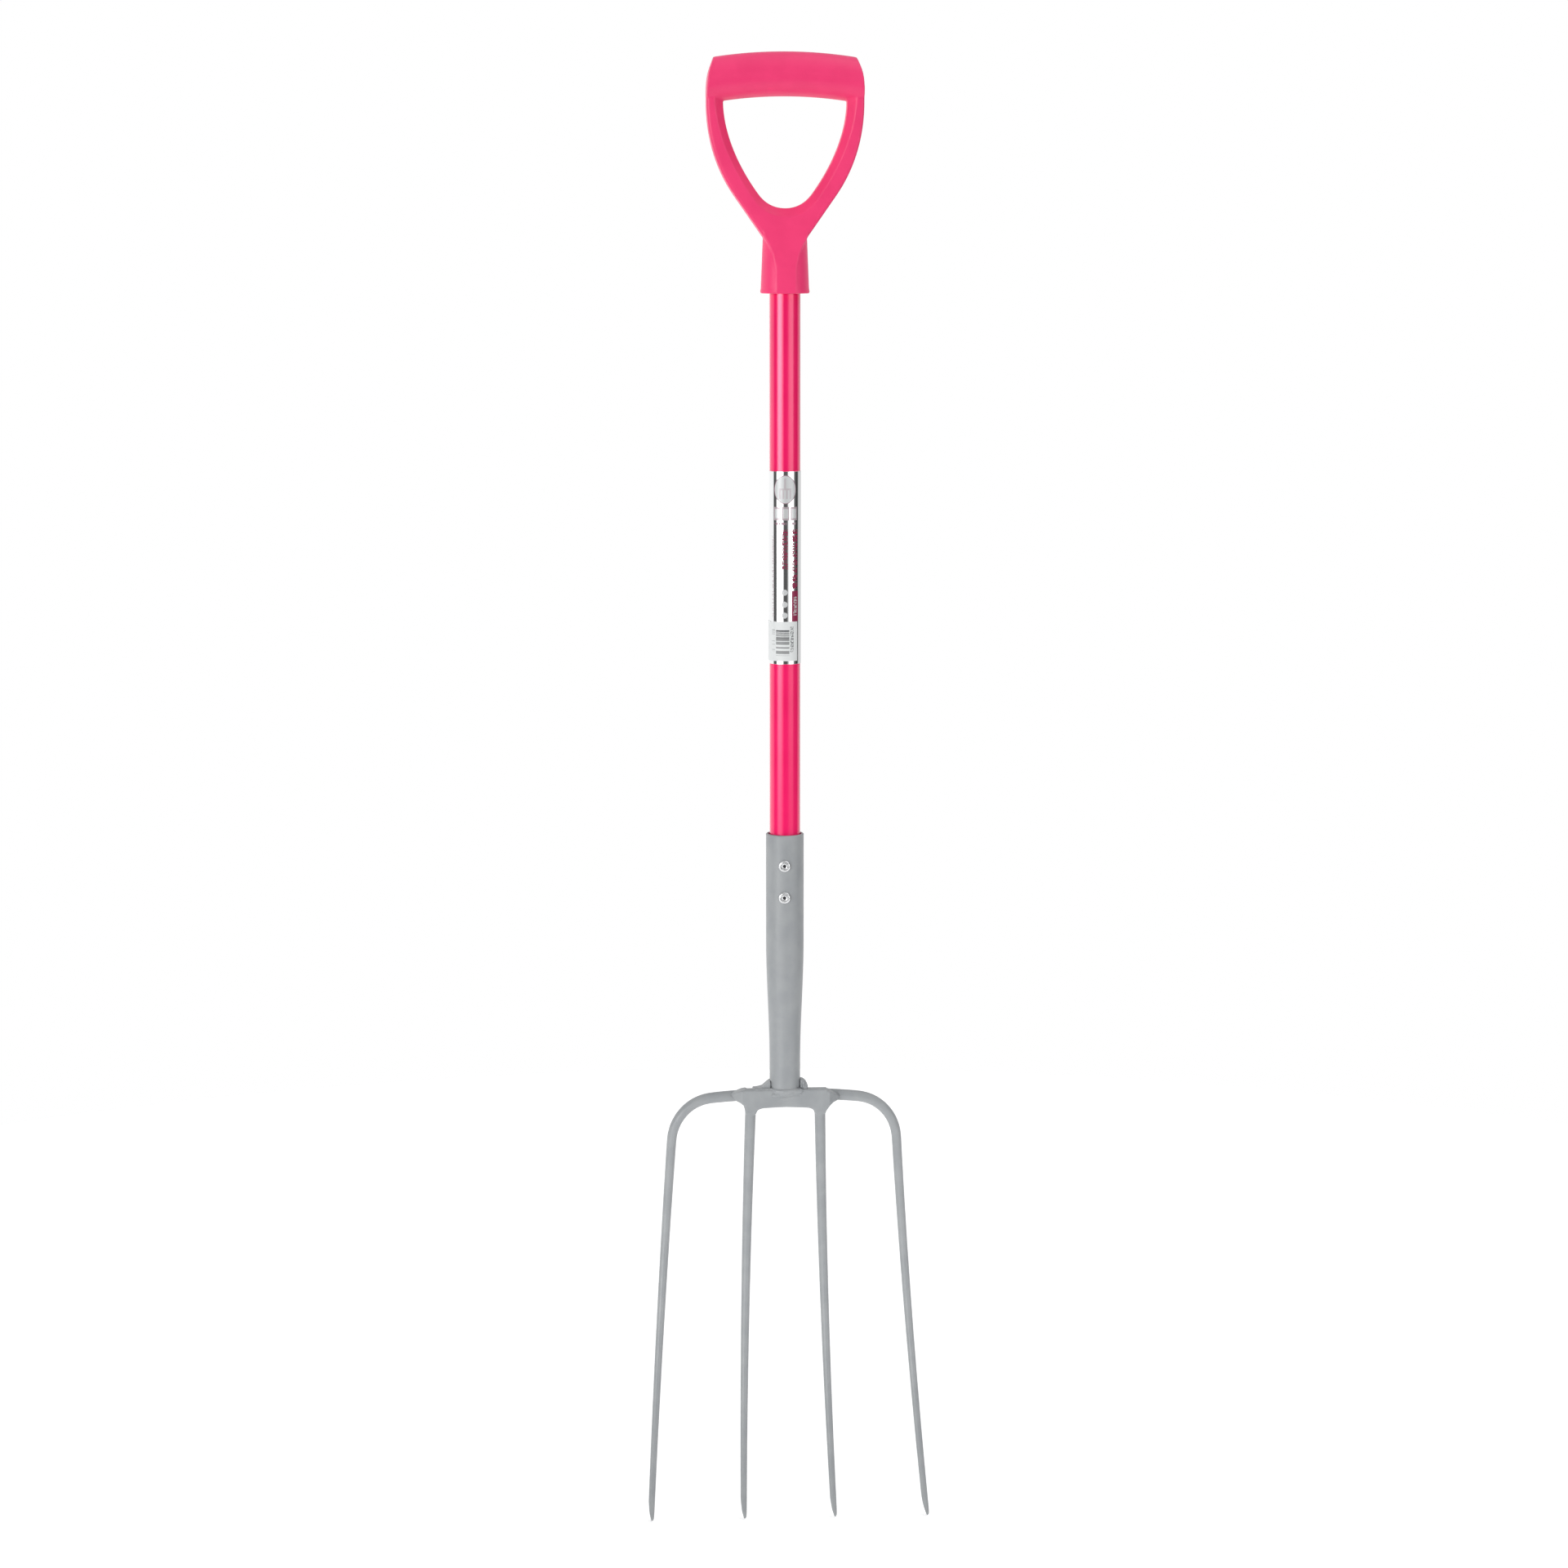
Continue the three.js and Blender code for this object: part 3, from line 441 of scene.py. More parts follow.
def grey_paint(name, length_scale):
    """Satin paint over forged steel: soft lumps under it, drawn out along the piece, orange peel and dust."""
    finish = Finish(name, Specular_IOR_Level=0.5)
    lumps = finish.cloud(1.0, 3.0, finish.stretched(150.0, 150.0, length_scale))
    dust = finish.cloud(1500.0, 2.0)
    mottle = finish.cloud(60.0).ramp(0.3, 0.7)
    finish.set("Base Color", mottle.tint(colour(0.290, 0.305, 0.318), colour(0.327, 0.341, 0.351)))
    finish.set("Roughness", 0.28 + 0.16 * lumps + 0.06 * dust)
    peel = finish.cloud(420.0, 2.0)
    finish.relief(lumps * 0.8 + peel * 0.12 + dust * 0.05, 0.45, 0.001)
    return finish.material


def round_the_shaft(finish):
    """How far a place is round the shaft from its front, to the right, in millimetres."""
    turn = finish.x.sum("ARCTAN2", finish.x, finish.y * -1.0)
    return turn * (label_high.x * 1000.0)


def random_bars(finish, along, pitch, share):
    """A row of bars and gaps of uneven widths along one direction."""
    cell = (along / pitch).floor()
    dice = finish.start.node("ShaderNodeTexWhiteNoise", {"noise_dimensions": "1D"}, {"W": cell})
    return dice < share


def random_marks(finish, around, down, pitch, group):
    """Small blocks set at random in groups, which look like print from afar and can't be read."""
    place = {0: (around / pitch).floor(), 1: (down / pitch).floor()}
    cell = finish.start.node("ShaderNodeCombineXYZ", {}, place)
    dice = finish.start.node("ShaderNodeTexWhiteNoise", {"noise_dimensions": "2D"}, {"Vector": cell})
    return (dice < 0.62) * ((down / group).fraction() < 0.84)


def inked(finish, surface, mask, ink):
    """A colour printed over a surface where the mask is 1."""
    return finish.start.node("ShaderNodeMix", {"data_type": "RGBA"}, {0: mask, 6: surface, 7: ink}, 2)


# The label's print is placed in millimetres: round the shaft from its front, and down from the label's top.

def badge_print(around, down):
    """An oval badge with a thin rim and a simple fork sign: its pale ground, and its faint lines."""
    across = (around + 0.6) / 9.4
    along = (down - 14.5) / 11.5
    away = across * across + along * along
    stem = around.within(-1.4, 0.2) * down.within(5.5, 13.5)
    head = around.within(-5.6, 4.4) * down.within(13.5, 15.0)
    prong = ((around + 5.6) / 2.85).fraction() < 0.5
    prongs = prong * around.within(-5.6, 4.4) * down.within(15.0, 22.0)
    sign = stem.either(head).either(prongs) * 0.35
    return away < 1.0, away.within(0.9, 1.0).either(sign)


def block_print(around, down):
    """A row of plain blocks under the badge: their pale bodies, and their edges."""
    block = ((around + 11.0) / 7.2).fraction()
    body = block.within(0.08, 0.92) * around.within(-11.0, 10.5) * down.within(28.4, 39.2)
    inside = block.within(0.2, 0.8) * down.within(30.0, 37.6)
    return body * 0.8, body * (1.0 - inside) * 0.6


def row_print(finish, around, down):
    """Rows of marks: two dark rows down the label, and faint ones across it and down its left side."""
    right = around.within(5.4, 10.6) * down.within(46.5, 94.5) * random_marks(finish, around, down, 0.95, 6.4)
    middle = around.within(-3.2, 1.6) * down.within(46.5, 78.5) * random_marks(finish, around, down, 0.8, 4.0)
    line = around.within(-10.5, 11.0) * down.within(41.0, 42.8)
    across = line * random_bars(finish, around + 50.0, 0.7, 0.5)
    left = around.within(-12.6, -10.4) * down.within(52.0, 118.0) * random_bars(finish, down, 0.5, 0.5)
    return right.either(middle), across.either(left * 0.4)


def disc_print(around, down):
    """Three small discs, one under another."""
    across = around + 1.0
    discs = []
    for middle in (97.4, 107.2, 116.0):
        along = down - middle
        discs.append(across * across + along * along < 5.8)
    return discs[0].either(discs[1]).either(discs[2])


def silver_foil():
    """Mirror foil printed with a badge, blocks, rows of marks, discs and one dark panel."""
    finish = Finish("silver_foil")
    around = round_the_shaft(finish)
    down = (label_high.z - finish.z) * 1000.0
    badge, badge_lines = badge_print(around, down)
    blocks, block_edges = block_print(around, down)
    dark_rows, faint_rows = row_print(finish, around, down)
    panel = around.within(5.0, 11.4) * down.within(96.2, 121.0)
    panel_row = around.within(6.6, 9.8) * down.within(101.0, 116.0)
    panel_marks = panel_row * random_marks(finish, around, down + 40.0, 0.8, 4.2)
    pale = badge.either(disc_print(around, down)).either(panel_marks).either(blocks)
    lines = badge_lines.either(block_edges).either(faint_rows)
    dark = dark_rows.either(panel * (1.0 - panel_marks))
    surface = inked(finish, colour(0.88, 0.885, 0.89), pale, colour(0.60, 0.615, 0.62))
    surface = inked(finish, surface, lines, colour(0.36, 0.22, 0.27))
    surface = inked(finish, surface, dark, colour(0.26, 0.02, 0.07))
    finish.set("Base Color", surface)
    printed = pale.either(lines).either(dark)
    finish.set("Metallic", 1.0 - 0.9 * printed)
    finish.set("Roughness", 0.06 + 0.25 * printed + 0.05 * finish.cloud(300.0))
    finish.relief(finish.cloud(120.0, 2.0), 0.03, 0.0004)
    return finish.material


def white_sticker():
    """White paper with uneven printed bars, a row of blocks beside them and faint small marks."""
    finish = Finish("white_sticker", Specular_IOR_Level=0.4)
    around = round_the_shaft(finish)
    down = (sticker_high.z - finish.z) * 1000.0
    bars = around.within(-8.2, 2.8) * down.within(4.0, 27.5) * random_bars(finish, down, 0.62, 0.5)
    blocks = around.within(3.6, 6.4) * down.within(4.0, 24.5) * random_marks(finish, around, down, 0.55, 2.6)
    specks = around.within(-12.4, -9.2) * down.within(6.0, 24.0) * random_bars(finish, down + 40.0, 0.7, 0.4)
    fresh = 1.0 - 0.35 * down.ramp(9.0, 16.0)
    dark = (bars * fresh).either(blocks * 0.85).either(specks * 0.3)
    paper = finish.cloud(700.0).tint(colour(0.70, 0.72, 0.72), colour(0.76, 0.78, 0.78))
    finish.set("Base Color", inked(finish, paper, dark, colour(0.05, 0.05, 0.055)))
    finish.set("Roughness", 0.42 + 0.1 * finish.cloud(500.0))
    finish.relief(finish.cloud(900.0), 0.05, 0.0002)
    return finish.material


def rivet_aluminium():
    """Bright rolled aluminium with faint turning marks."""
    finish = Finish("rivet_aluminium", Metallic=1.0)
    marks = finish.cloud(1.0, 3.0, finish.stretched(2500.0, 2500.0, 2500.0))
    finish.set("Base Color", marks.tint(colour(0.78, 0.79, 0.8), colour(0.88, 0.89, 0.9)))
    finish.set("Roughness", 0.2 + 0.16 * marks)
    finish.relief(marks, 0.05, 0.00005)
    return finish.material


def pin_painted_shade():
    """The end of a rivet's pin, coloured near-black as painted shade for the rivet's dark bore, with a faint
    torn mottle.
    """
    finish = Finish("pin_painted_shade", Metallic=1.0)
    tear = finish.cloud(2500.0)
    # Painted shade: the near-black base colour stands for the shadow inside the rivet's bore.
    finish.set("Base Color", tear.tint(colour(0.03, 0.03, 0.032), colour(0.09, 0.09, 0.095)))
    finish.set("Roughness", 0.5 + 0.2 * tear)
    return finish.material


def plated_steel():
    """Dull zinc-plated steel."""
    finish = Finish("plated_steel", Metallic=1.0)
    spangle = finish.cloud(900.0)
    finish.set("Base Color", spangle.tint(colour(0.36, 0.36, 0.38), colour(0.5, 0.5, 0.51)))
    finish.set("Roughness", 0.32 + 0.2 * spangle)
    return finish.material


# ======== The D-handle ========

def arch_drop(x):
    """How far the arched grip has fallen at a distance from its middle."""
    return GRIP_ARCH_RADIUS - math.sqrt(GRIP_ARCH_RADIUS ** 2 - x ** 2)


def handle_outline():
    """The right half of the handle's outer line, from the top of the middle down."""
    spare = 0.002
    corner = (CORNER_X, -GRIP_LOW - arch_drop(CORNER_X))
    widest = (handle_high.x, GRIP_LOW - 0.0044)
    shoulder = (COLLAR_TOP_RADIUS + 0.02275, OPENING_BOTTOM + 0.0098)
    half = [(0, -GRIP_LOW + spare), off(corner, -spare / 4, spare), corner]
    half += curve_points(corner, off(corner, 0.003, -0.01), (widest[0], corner[1] * 0.1), widest, 10)
    half += curve_points(widest, off(widest, 0, -0.026), off(shoulder, 0.0154, 0.022), shoulder, 22)
    neck = (COLLAR_TOP_RADIUS, COLLAR_TOP)
    overlap = 0.005
    return half + [neck, off(neck, -overlap / 2, -overlap), (0, COLLAR_TOP - overlap)]


def opening_outline():
    """The right half of the finger opening's line, from inside the grip down."""
    corner = (OPENING_X, GRIP_LOW - 0.003)
    foot = (OPENING_FOOT_X, OPENING_BOTTOM + OPENING_FOOT_HEIGHT)
    bottom = (0, OPENING_BOTTOM)
    half = [(0, GRIP_LOW / 2), (OPENING_X, GRIP_LOW / 2), corner]
    half += curve_points(corner, off(corner, 0, -0.026), off(foot, 0.0155, 0.021), foot, 22)
    return half + curve_points(foot, off(foot, -0.005, -0.0068), off(bottom, 0.0094, 0), bottom, 12)


def grip():
    """The round bar across the top, arched a little and cut off where the handle's sides pass it."""
    reach = handle_high.x + 0.003
    stations = []
    for step in range(GRIP_STEPS + 1):
        x = reach * (2 * step / GRIP_STEPS - 1)
        turn = math.asin(x / GRIP_ARCH_RADIUS)
        stations.append((Vector((x, 0, -arch_drop(x))), turn, -GRIP_LOW, -GRIP_LOW))
    between_sides = slab("grip_ends", handle_outline(), -0.03, 0.03)
    return combined(swept("grip_bar", stations, 64), between_sides, "INTERSECT")


def handle_frame():
    """The two arms and the web: a flat frame with rounded outer edges and a bevel round the opening."""
    piece = slab("handle_frame", handle_outline(), -ARM_HALF_DEPTH, ARM_HALF_DEPTH)
    pick(piece, "EDGE", lambda ends: ends[0].y * ends[1].y > 0)
    bpy.ops.mesh.bevel(offset=ARM_EDGE, segments=3, clamp_overlap=True)
    bpy.ops.mesh.select_all(action="SELECT")
    bpy.ops.mesh.bisect(plane_co=(0, 0, ARM_TOP), plane_no=(0, 0, 1), use_fill=True, clear_outer=True)
    rest_hands()
    return combined(piece, finger_opening(), "DIFFERENCE")


def finger_opening():
    """The opening as a solid that widens towards both faces, so that it leaves a bevelled rim."""
    half = opening_outline()
    straight = ARM_HALF_DEPTH - ARM_BEVEL
    reach = ARM_HALF_DEPTH + 0.008
    middle = (0, 0, (half[0][1] + half[-1][1]) / 2)
    wide = 1 + BEVEL_SPREAD * (reach - straight) / (middle[2] - half[-1][1])
    drawn([(x, -reach, z) for x, z in half] + [(-x, -reach, z) for x, z in reversed(half[1:-1])])
    bpy.ops.mesh.edge_face_add()
    bpy.ops.transform.resize(value=(wide, 1, wide), center_override=middle)
    for move, scale in ((reach - straight, 1 / wide), (2 * straight, 1), (reach - straight, wide)):
        bpy.ops.mesh.extrude_region_move(TRANSFORM_OT_translate={"value": (0, move, 0)})
        bpy.ops.transform.resize(value=(scale, 1, scale), center_override=middle)
    return facing_out(settled("finger_opening"))


def flattened(piece):
    """Planes off the front and back, so that the web's flat faces run down the collar."""
    upper = (0.0120, -0.121, 0.17)
    lower = (0.0172, -0.152, 0.045)
    for facing in (-1, 1):
        for depth, height, lean in (upper, lower):
            place = (0, facing * depth, height)
            take(piece)
            bpy.ops.object.mode_set(mode="EDIT")
            bpy.ops.mesh.select_all(action="SELECT")
            bpy.ops.mesh.bisect(plane_co=place, plane_no=(0, facing, lean), use_fill=True, clear_outer=True)
    rest_hands()
    return piece


def collar():
    """The flaring collar with a slight lip at the foot, and the tongue of the web let into it."""
    foot = handle_low.z
    outer = COLLAR_FOOT_RADIUS
    body = flattened(turned("collar", [
        (0, COLLAR_TOP + 0.014),
        (ARM_HALF_DEPTH, COLLAR_TOP + 0.0093),
        (COLLAR_TOP_RADIUS, COLLAR_TOP),
        (outer - 0.0004, foot + 0.003),
        (outer, foot + 0.0024),
        (outer, foot + 0.0006),
        (outer - 0.0006, foot),
        (0, foot),
    ]))
    half = [(0, WEB_FOOT), (COLLAR_TOP_RADIUS, WEB_FOOT), (COLLAR_TOP_RADIUS, COLLAR_TOP)]
    half += curve_points(half[-1], (0.0140, -0.1335), (0.0086, -0.1445), (0.0082, -0.154), 8)
    tongue_foot = foot + 0.0012
    half += [(0.0080, tongue_foot), (0, tongue_foot)]
    return body, flattened(slab("collar_tongue", half, -0.02, 0.02))


def bore():
    """The hole that the shaft stands in."""
    low = handle_low.z - 0.01
    high = tube_high.z + CLEARANCE
    return turned("bore", [(0, low), (COLLAR_BORE, low), (COLLAR_BORE, high), (0, high)], 128)


def make_handle():
    """The whole moulding in one skin, with its bore and the screw's seat cut clean afterwards."""
    piece = fused(joined("handle_moulding", [handle_frame(), grip(), *collar()]), MOULDING_GRAIN, 6)
    combined(piece, bore(), "DIFFERENCE")
    depth = 0.01
    profile = [(0, 0), (SCREW_SEAT_RADIUS, 0), (SCREW_SEAT_RADIUS, depth), (0, depth)]
    seat = turned("screw_seat", profile, 48)
    middle = (screw_low.z + screw_high.z) / 2
    combined(piece, pointing(seat, (0, SCREW_SEAT_Y, middle), math.pi), "DIFFERENCE")
    take(piece)
    bpy.ops.object.shade_smooth_by_angle(angle=math.radians(45))
    return piece


# ======== The screw, the shaft and its labels ========

def pointing(piece, place, turn):
    """Turns a piece made about +Z to point to the front, then round the shaft by `turn`."""
    rest_hands()
    piece.rotation_euler = (math.pi / 2, 0, turn)
    piece.location = place
    piece.select_set(True)
    bpy.context.view_layer.objects.active = piece
    return settled(piece.name)


def make_screw():
    """A pan-head screw with a cross recess, driven into the back of the collar."""
    middle = (screw_low.z + screw_high.z) / 2
    piece = turned("collar_screw", [
        (0, 0.0024), (0.0016, 0.0023), (0.0030, 0.0018), (0.0038, 0.0010), (0.004, 0.0005),
        (0.0039, 0.0001), (0.0037, 0), (0.002, 0), (0.002, -0.009), (0.0006, -0.0122), (0, -0.0124),
    ], 48)
    for turn in (0, math.pi / 2):
        bpy.ops.mesh.primitive_cube_add(size=1, location=(0, 0, 0.0021), rotation=(0, 0, turn))
        bpy.ops.transform.resize(value=(0.0042, 0.0009, 0.0022))
        combined(piece, settled("screw_slot"), "DIFFERENCE")
    return pointing(piece, (0, SCREW_SEAT_Y, middle), math.pi)


def pipe(name, inner, outer, low, high, edge):
    """A round pipe with its outer edges eased."""
    return turned(name, [
        (inner, low), (outer - edge, low), (outer, low + edge), (outer, high - edge), (outer - edge, high),
        (inner, high), (inner, low),
    ], 128)


def make_tube():
    """The shaft: a round tube, open at both ends inside the collar and the socket."""
    radius = tube_high.x
    return pipe("shaft_tube_gloss", radius - TUBE_WALL, radius, tube_low.z, tube_high.z, 0.0002)


def make_label():
    """The foil label, wrapped right round the shaft."""
    inner = tube_high.x + FOIL_LIFT
    return pipe("foil_wrap", inner, label_high.x, label_low.z, label_high.z, 0.00008)


def make_sticker():
    """The white sticker: a curved sheet over the left half of the label's foot."""
    inner = label_high.x + STICKER_LIFT
    x = inner * math.sin(STICKER_START)
    y = -inner * math.cos(STICKER_START)
    drawn([(x, y, sticker_low.z), (x, y, sticker_high.z)])
    bpy.ops.mesh.spin(steps=60, angle=-STICKER_SWEEP, center=(0, 0, 0), axis=(0, 0, 1))
    piece = facing_out(settled("barcode_sheet"))
    modified(piece, "SOLIDIFY", thickness=STICKER_THICKNESS, offset=1.0)
    facing_out(piece)
    take(piece)
    bpy.ops.object.shade_smooth_by_angle(angle=math.radians(35))
    return piece


# ======== The socket and its rivets ========

def socket_radius(z):
    """The socket's outer radius: straight, an even taper, and straight again."""
    share = min(max((socket_high.z - SOCKET_STRAIGHT - z) / SOCKET_TAPER, 0), 1)
    return socket_high.x + (SOCKET_FOOT_RADIUS - socket_high.x) * share * share * (3 - 2 * share)


def make_socket():
    """The steel socket: a rounded rim, a straight top, and a long taper to its foot."""
    rim = 0.0007
    top, foot = socket_high.z, socket_low.z
    taper = [top - SOCKET_STRAIGHT - SOCKET_TAPER * (1 - i / 24) for i in range(25)]
    rows = [foot] + taper + [top - 0.004]
    outside = [(socket_radius(z), z) for z in rows]
    outer = socket_high.x
    inner = outer - SOCKET_WALL
    lip = [(outer, top - 2 * rim), (outer + 0.0001, top - rim), (outer - 0.0003, top - 0.0002)]
    lip += [(outer - rim, top), (inner + 0.0004, top), (inner, top - 0.0004)]
    inside = [(socket_radius(z) - SOCKET_WALL, z) for z in reversed(rows)]
    return turned("socket_tube", outside + lip + inside + outside[:1], 128)


def rivet_profile():
    """A blind rivet's head: a domed ring, a groove, and the flat lip of its bore, on a short shank."""
    return [
        (RIVET_BORE, -RIVET_DEPTH), (RIVET_SHANK, -RIVET_DEPTH), (RIVET_SHANK, 0.0001), (0.0045, 0.0001),
        (0.00475, 0.0003), (0.0047, 0.00075), (0.0044, 0.00115), (0.0040, 0.00142), (0.0035, 0.00155),
        (0.00315, 0.0015), (0.00295, 0.0013), (0.0029, 0.0006), (0.0027, 0.0006), (0.0026, 0.00112),
        (0.0023, 0.00118), (0.0017, 0.00105), (RIVET_BORE, 0.0007), (RIVET_BORE, -RIVET_DEPTH),
    ]


def make_rivets():
    """Both rivets, each with the torn end of its pin left in the bore."""
    surface = socket_high.x
    pin_profile = [(0, -PIN_DEPTH), (PIN_RADIUS, -PIN_DEPTH), (PIN_RADIUS, 0.0002), (0.0009, 0.0004)]
    pin_profile += [(0.0004, 0.0002), (0, 0.0005)]
    pieces = []
    for which in ("upper", "lower"):
        low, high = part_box("rivet_" + which)
        middle = (low.z + high.z) / 2
        place = (surface * math.sin(RIVET_TURN), -surface * math.cos(RIVET_TURN), middle)
        head = pointing(turned("rivet_head_" + which, rivet_profile(), 64), place, RIVET_TURN)
        pin = pointing(turned("rivet_pin_" + which, pin_profile, 32), place, RIVET_TURN)
        pieces.append((which, head, pin))
    return pieces


# ======== The tines ========

def dish_slope(z):
    """How steeply the tines run back or forward at a height."""
    return LEAN_BACK + (DISH_TOP - z) / DISH_RADIUS if z < DISH_TOP else 0.0


def dish(z):
    """How far back or forward the tines' hollow lies at a height."""
    if z >= DISH_TOP:
        return 0.0
    return -DISH_RADIUS * (math.sqrt(1 - LEAN_BACK ** 2) - math.sqrt(1 - dish_slope(z) ** 2))


def leg(root_x, root_z, tip_x, root_y, root_half, steps):
    """Stations down one straight leg, from its root to its rounded end."""
    turn = math.pi / 2 - math.atan((tip_x - root_x) / (root_z - TIP))
    stations = []
    shares = [step / steps for step in range(steps + 1)] + [0.9975, 1.0]
    ends = {0.9975: 0.93, 1.0: 0.6}
    for share in sorted(set(shares)):
        z = root_z + (TIP - root_z) * share
        half = (root_half + (TIP_HALF - root_half) * share) * ends.get(share, 1.0)
        place = Vector((root_x + (tip_x - root_x) * share, root_y * (1 - share) + dish(z), z))
        depth = half * OVAL / math.sqrt(1 - dish_slope(z) ** 2)
        stations.append((place, turn, half, depth))
    return stations


def cut_point(piece, tip_x, lean):
    """Grinds a point off slantwise from its left. The lean is how far the tine runs out as it drops."""
    for height, reach, slope in ((0.0145, -0.00005, 0.13), (0.0065, 0.00095, 0.3)):
        place = (tip_x - lean * height - TIP_HALF + reach, 0, TIP + height)
        pick(piece, "FACE", lambda spots: all(p.z < TIP + 0.04 and abs(p.x - tip_x) < 0.01 for p in spots))
        away = (-1, 0, -slope - lean)
        bpy.ops.mesh.bisect(plane_co=place, plane_no=away, use_fill=True, clear_outer=True)
    rest_hands()


def bar_line(shoulder, splay):
    """The right half of the outer bar's line, from the middle to the shoulder of its tine."""
    middle_z = PLATE_TOP - 0.0065
    arch = 0.0028
    bend_x = shoulder[0] - 0.0335
    slope = 2 * arch / bend_x
    leave, arrive = 0.0201, 0.0181
    line = [(bend_x * i / 8, middle_z - arch * (i / 8) ** 2) for i in range(9)]
    first_pull = off(line[-1], leave, -leave * slope)
    last_pull = off(shoulder, -arrive * splay, arrive)
    return line + curve_points(line[-1], first_pull, last_pull, shoulder, 14)


def make_outer_tines():
    """One bar across the back of the crown, bent down at both ends into the outer tines."""
    shoulder = (0.0935, PLATE_TOP - 0.0455)
    tip_x = 0.1139
    bar_half, shoulder_half = 0.0049, 0.00405
    splay = (tip_x - shoulder[0]) / (shoulder[1] - TIP)
    line = bar_line(shoulder, splay)
    stations = []
    for index, (x, z) in enumerate(line[:-1]):
        after = line[index + 1]
        before = line[max(index - 1, 0)]
        turn = math.atan2(before[1] - after[1], after[0] - before[0]) if index else 0.0
        share = index / (len(line) - 1)
        half = bar_half + (shoulder_half - bar_half) * share
        stations.append((Vector((x, TINES_Y + dish(z), z)), turn, half, half * (1 + 0.06 * share)))
    stations += leg(*shoulder, tip_x, TINES_Y, shoulder_half, 60)
    mirrored = []
    for place, turn, *halves in stations[:0:-1]:
        mirrored.append((Vector((-place.x, place.y, place.z)), -turn, *halves))
    piece = swept("outer_tine_bar", mirrored + stations, 16)
    modified(piece, "SUBSURF", levels=1, render_levels=1)
    facing_out(piece)
    cut_point(piece, -tip_x, -splay)
    cut_point(piece, tip_x, splay)
    take(piece)
    bpy.ops.object.shade_smooth_by_angle(angle=math.radians(40))
    return piece


def crown_outline():
    """The right half of the crown plate, with the neck of its tine."""
    neck_outer, neck_inner = 0.0330, 0.0240
    neck_z = PLATE_TOP - 0.0210
    corner = (PLATE_HALF_WIDTH, PLATE_TOP - 0.0100)
    outside, inside = (neck_outer, neck_z), (neck_inner, neck_z)
    under = (neck_inner - 0.0075, PLATE_TOP - PLATE_HEIGHT - 0.0007)
    half = [(0, PLATE_TOP), (PLATE_HALF_WIDTH, PLATE_TOP), corner]
    half += curve_points(corner, off(corner, 0, -0.003), off(outside, 0, 0.004), outside, 5)
    half.append(inside)
    half += curve_points(inside, off(inside, 0, 0.004), off(under, 0.005, -0.0004), under, 7)
    return half + [(0, PLATE_TOP - PLATE_HEIGHT)]


def make_inner_tines():
    """The crown plate and the two tines drawn down from it, in one forging."""
    plate = slab("crown_plate", crown_outline(), -TINES_Y - PLATE_HALF_DEPTH, -TINES_Y + PLATE_HALF_DEPTH)
    modified(plate, "BEVEL", width=0.0018, segments=3)
    pieces = [plate]
    root_x, tip_x = 0.0284, 0.0374
    root_z = PLATE_TOP - PLATE_HEIGHT / 2
    lean = (tip_x - root_x) / (root_z - TIP)
    for side in (-1, 1):
        stations = leg(side * root_x, root_z, side * tip_x, -TINES_Y, INNER_TINE_HALF, 60)
        tine = swept("inner_tine", stations, 16)
        modified(tine, "SUBSURF", levels=1, render_levels=1)
        cut_point(tine, side * tip_x, side * lean)
        pieces.append(facing_out(tine))
    return fused(joined("crown_forging", pieces), FORGING_GRAIN, 3)


# ======== Welds ========

def lump(place, radius, flat):
    """One drop of weld metal."""
    rest_hands()
    bpy.ops.mesh.primitive_uv_sphere_add(
        segments=20, ring_count=12, radius=radius, location=place, scale=flat)
    return settled("drop")


def weld(name, outline, front, back, drops, soften, slope=0.0):
    """A run of weld metal: a filler with drops melted into it, both measured from the crown's top.

    A slope tapers the filler from full depth at the plate's end to nothing at its outer end.
    """
    filler = filled("filler", [(x, PLATE_TOP + z) for x, z in outline], front, back)
    modified(filler, "BEVEL", width=0.001, segments=2)
    if slope:
        pick(filler, "FACE", lambda spots: True)
        side = math.copysign(1.0, outline[0][0])
        start = (side * CROWN_WELD_SHOULDER, front, 0)
        away = (side * slope, -1, 0)
        bpy.ops.mesh.bisect(plane_co=start, plane_no=away, use_fill=True, clear_outer=True)
        rest_hands()
    lumps = [lump((x, y, PLATE_TOP + z), radius, flat) for x, y, z, radius, flat in drops]
    return name, fused(joined(name + "_bead", [filler] + lumps), WELD_GRAIN, soften)


def laid(start, end, count, radius, flat):
    """A row of overlapping drops, laid from one place to another like one pass of the torch."""
    drops = []
    for step in range(count):
        place = Vector(start).lerp(Vector(end), step / (count - 1))
        drops.append(lump(place, radius * (1 + 0.06 * (step % 2)), flat))
    return drops


def socket_bead(name, facing):
    """The bead round one side of the socket's foot, with two more passes laid under it on a slant."""
    reach = SOCKET_FOOT_RADIUS - 0.0004
    drops = []
    for step in range(21):
        angle = math.radians(-70 + 7 * step)
        place = (reach * math.sin(angle), facing * reach * math.cos(angle), PLATE_TOP - 0.0012)
        drops.append(lump(place, 0.0021 + 0.0001 * (step % 2), (1.0, 0.85, 1.0)))
    y, top = facing * 0.0091, PLATE_TOP
    drops += laid((-0.0094, y, top - 0.0046), (0.0124, y, top - 0.0014), 19, 0.0022, (1, 0.95, 1))
    drops += laid((-0.0030, y, top - 0.0074), (0.0104, y, top - 0.0058), 13, 0.0019, (1, 0.45, 1))
    return name, fused(joined(name + "_bead", drops), BEAD_GRAIN, 7)


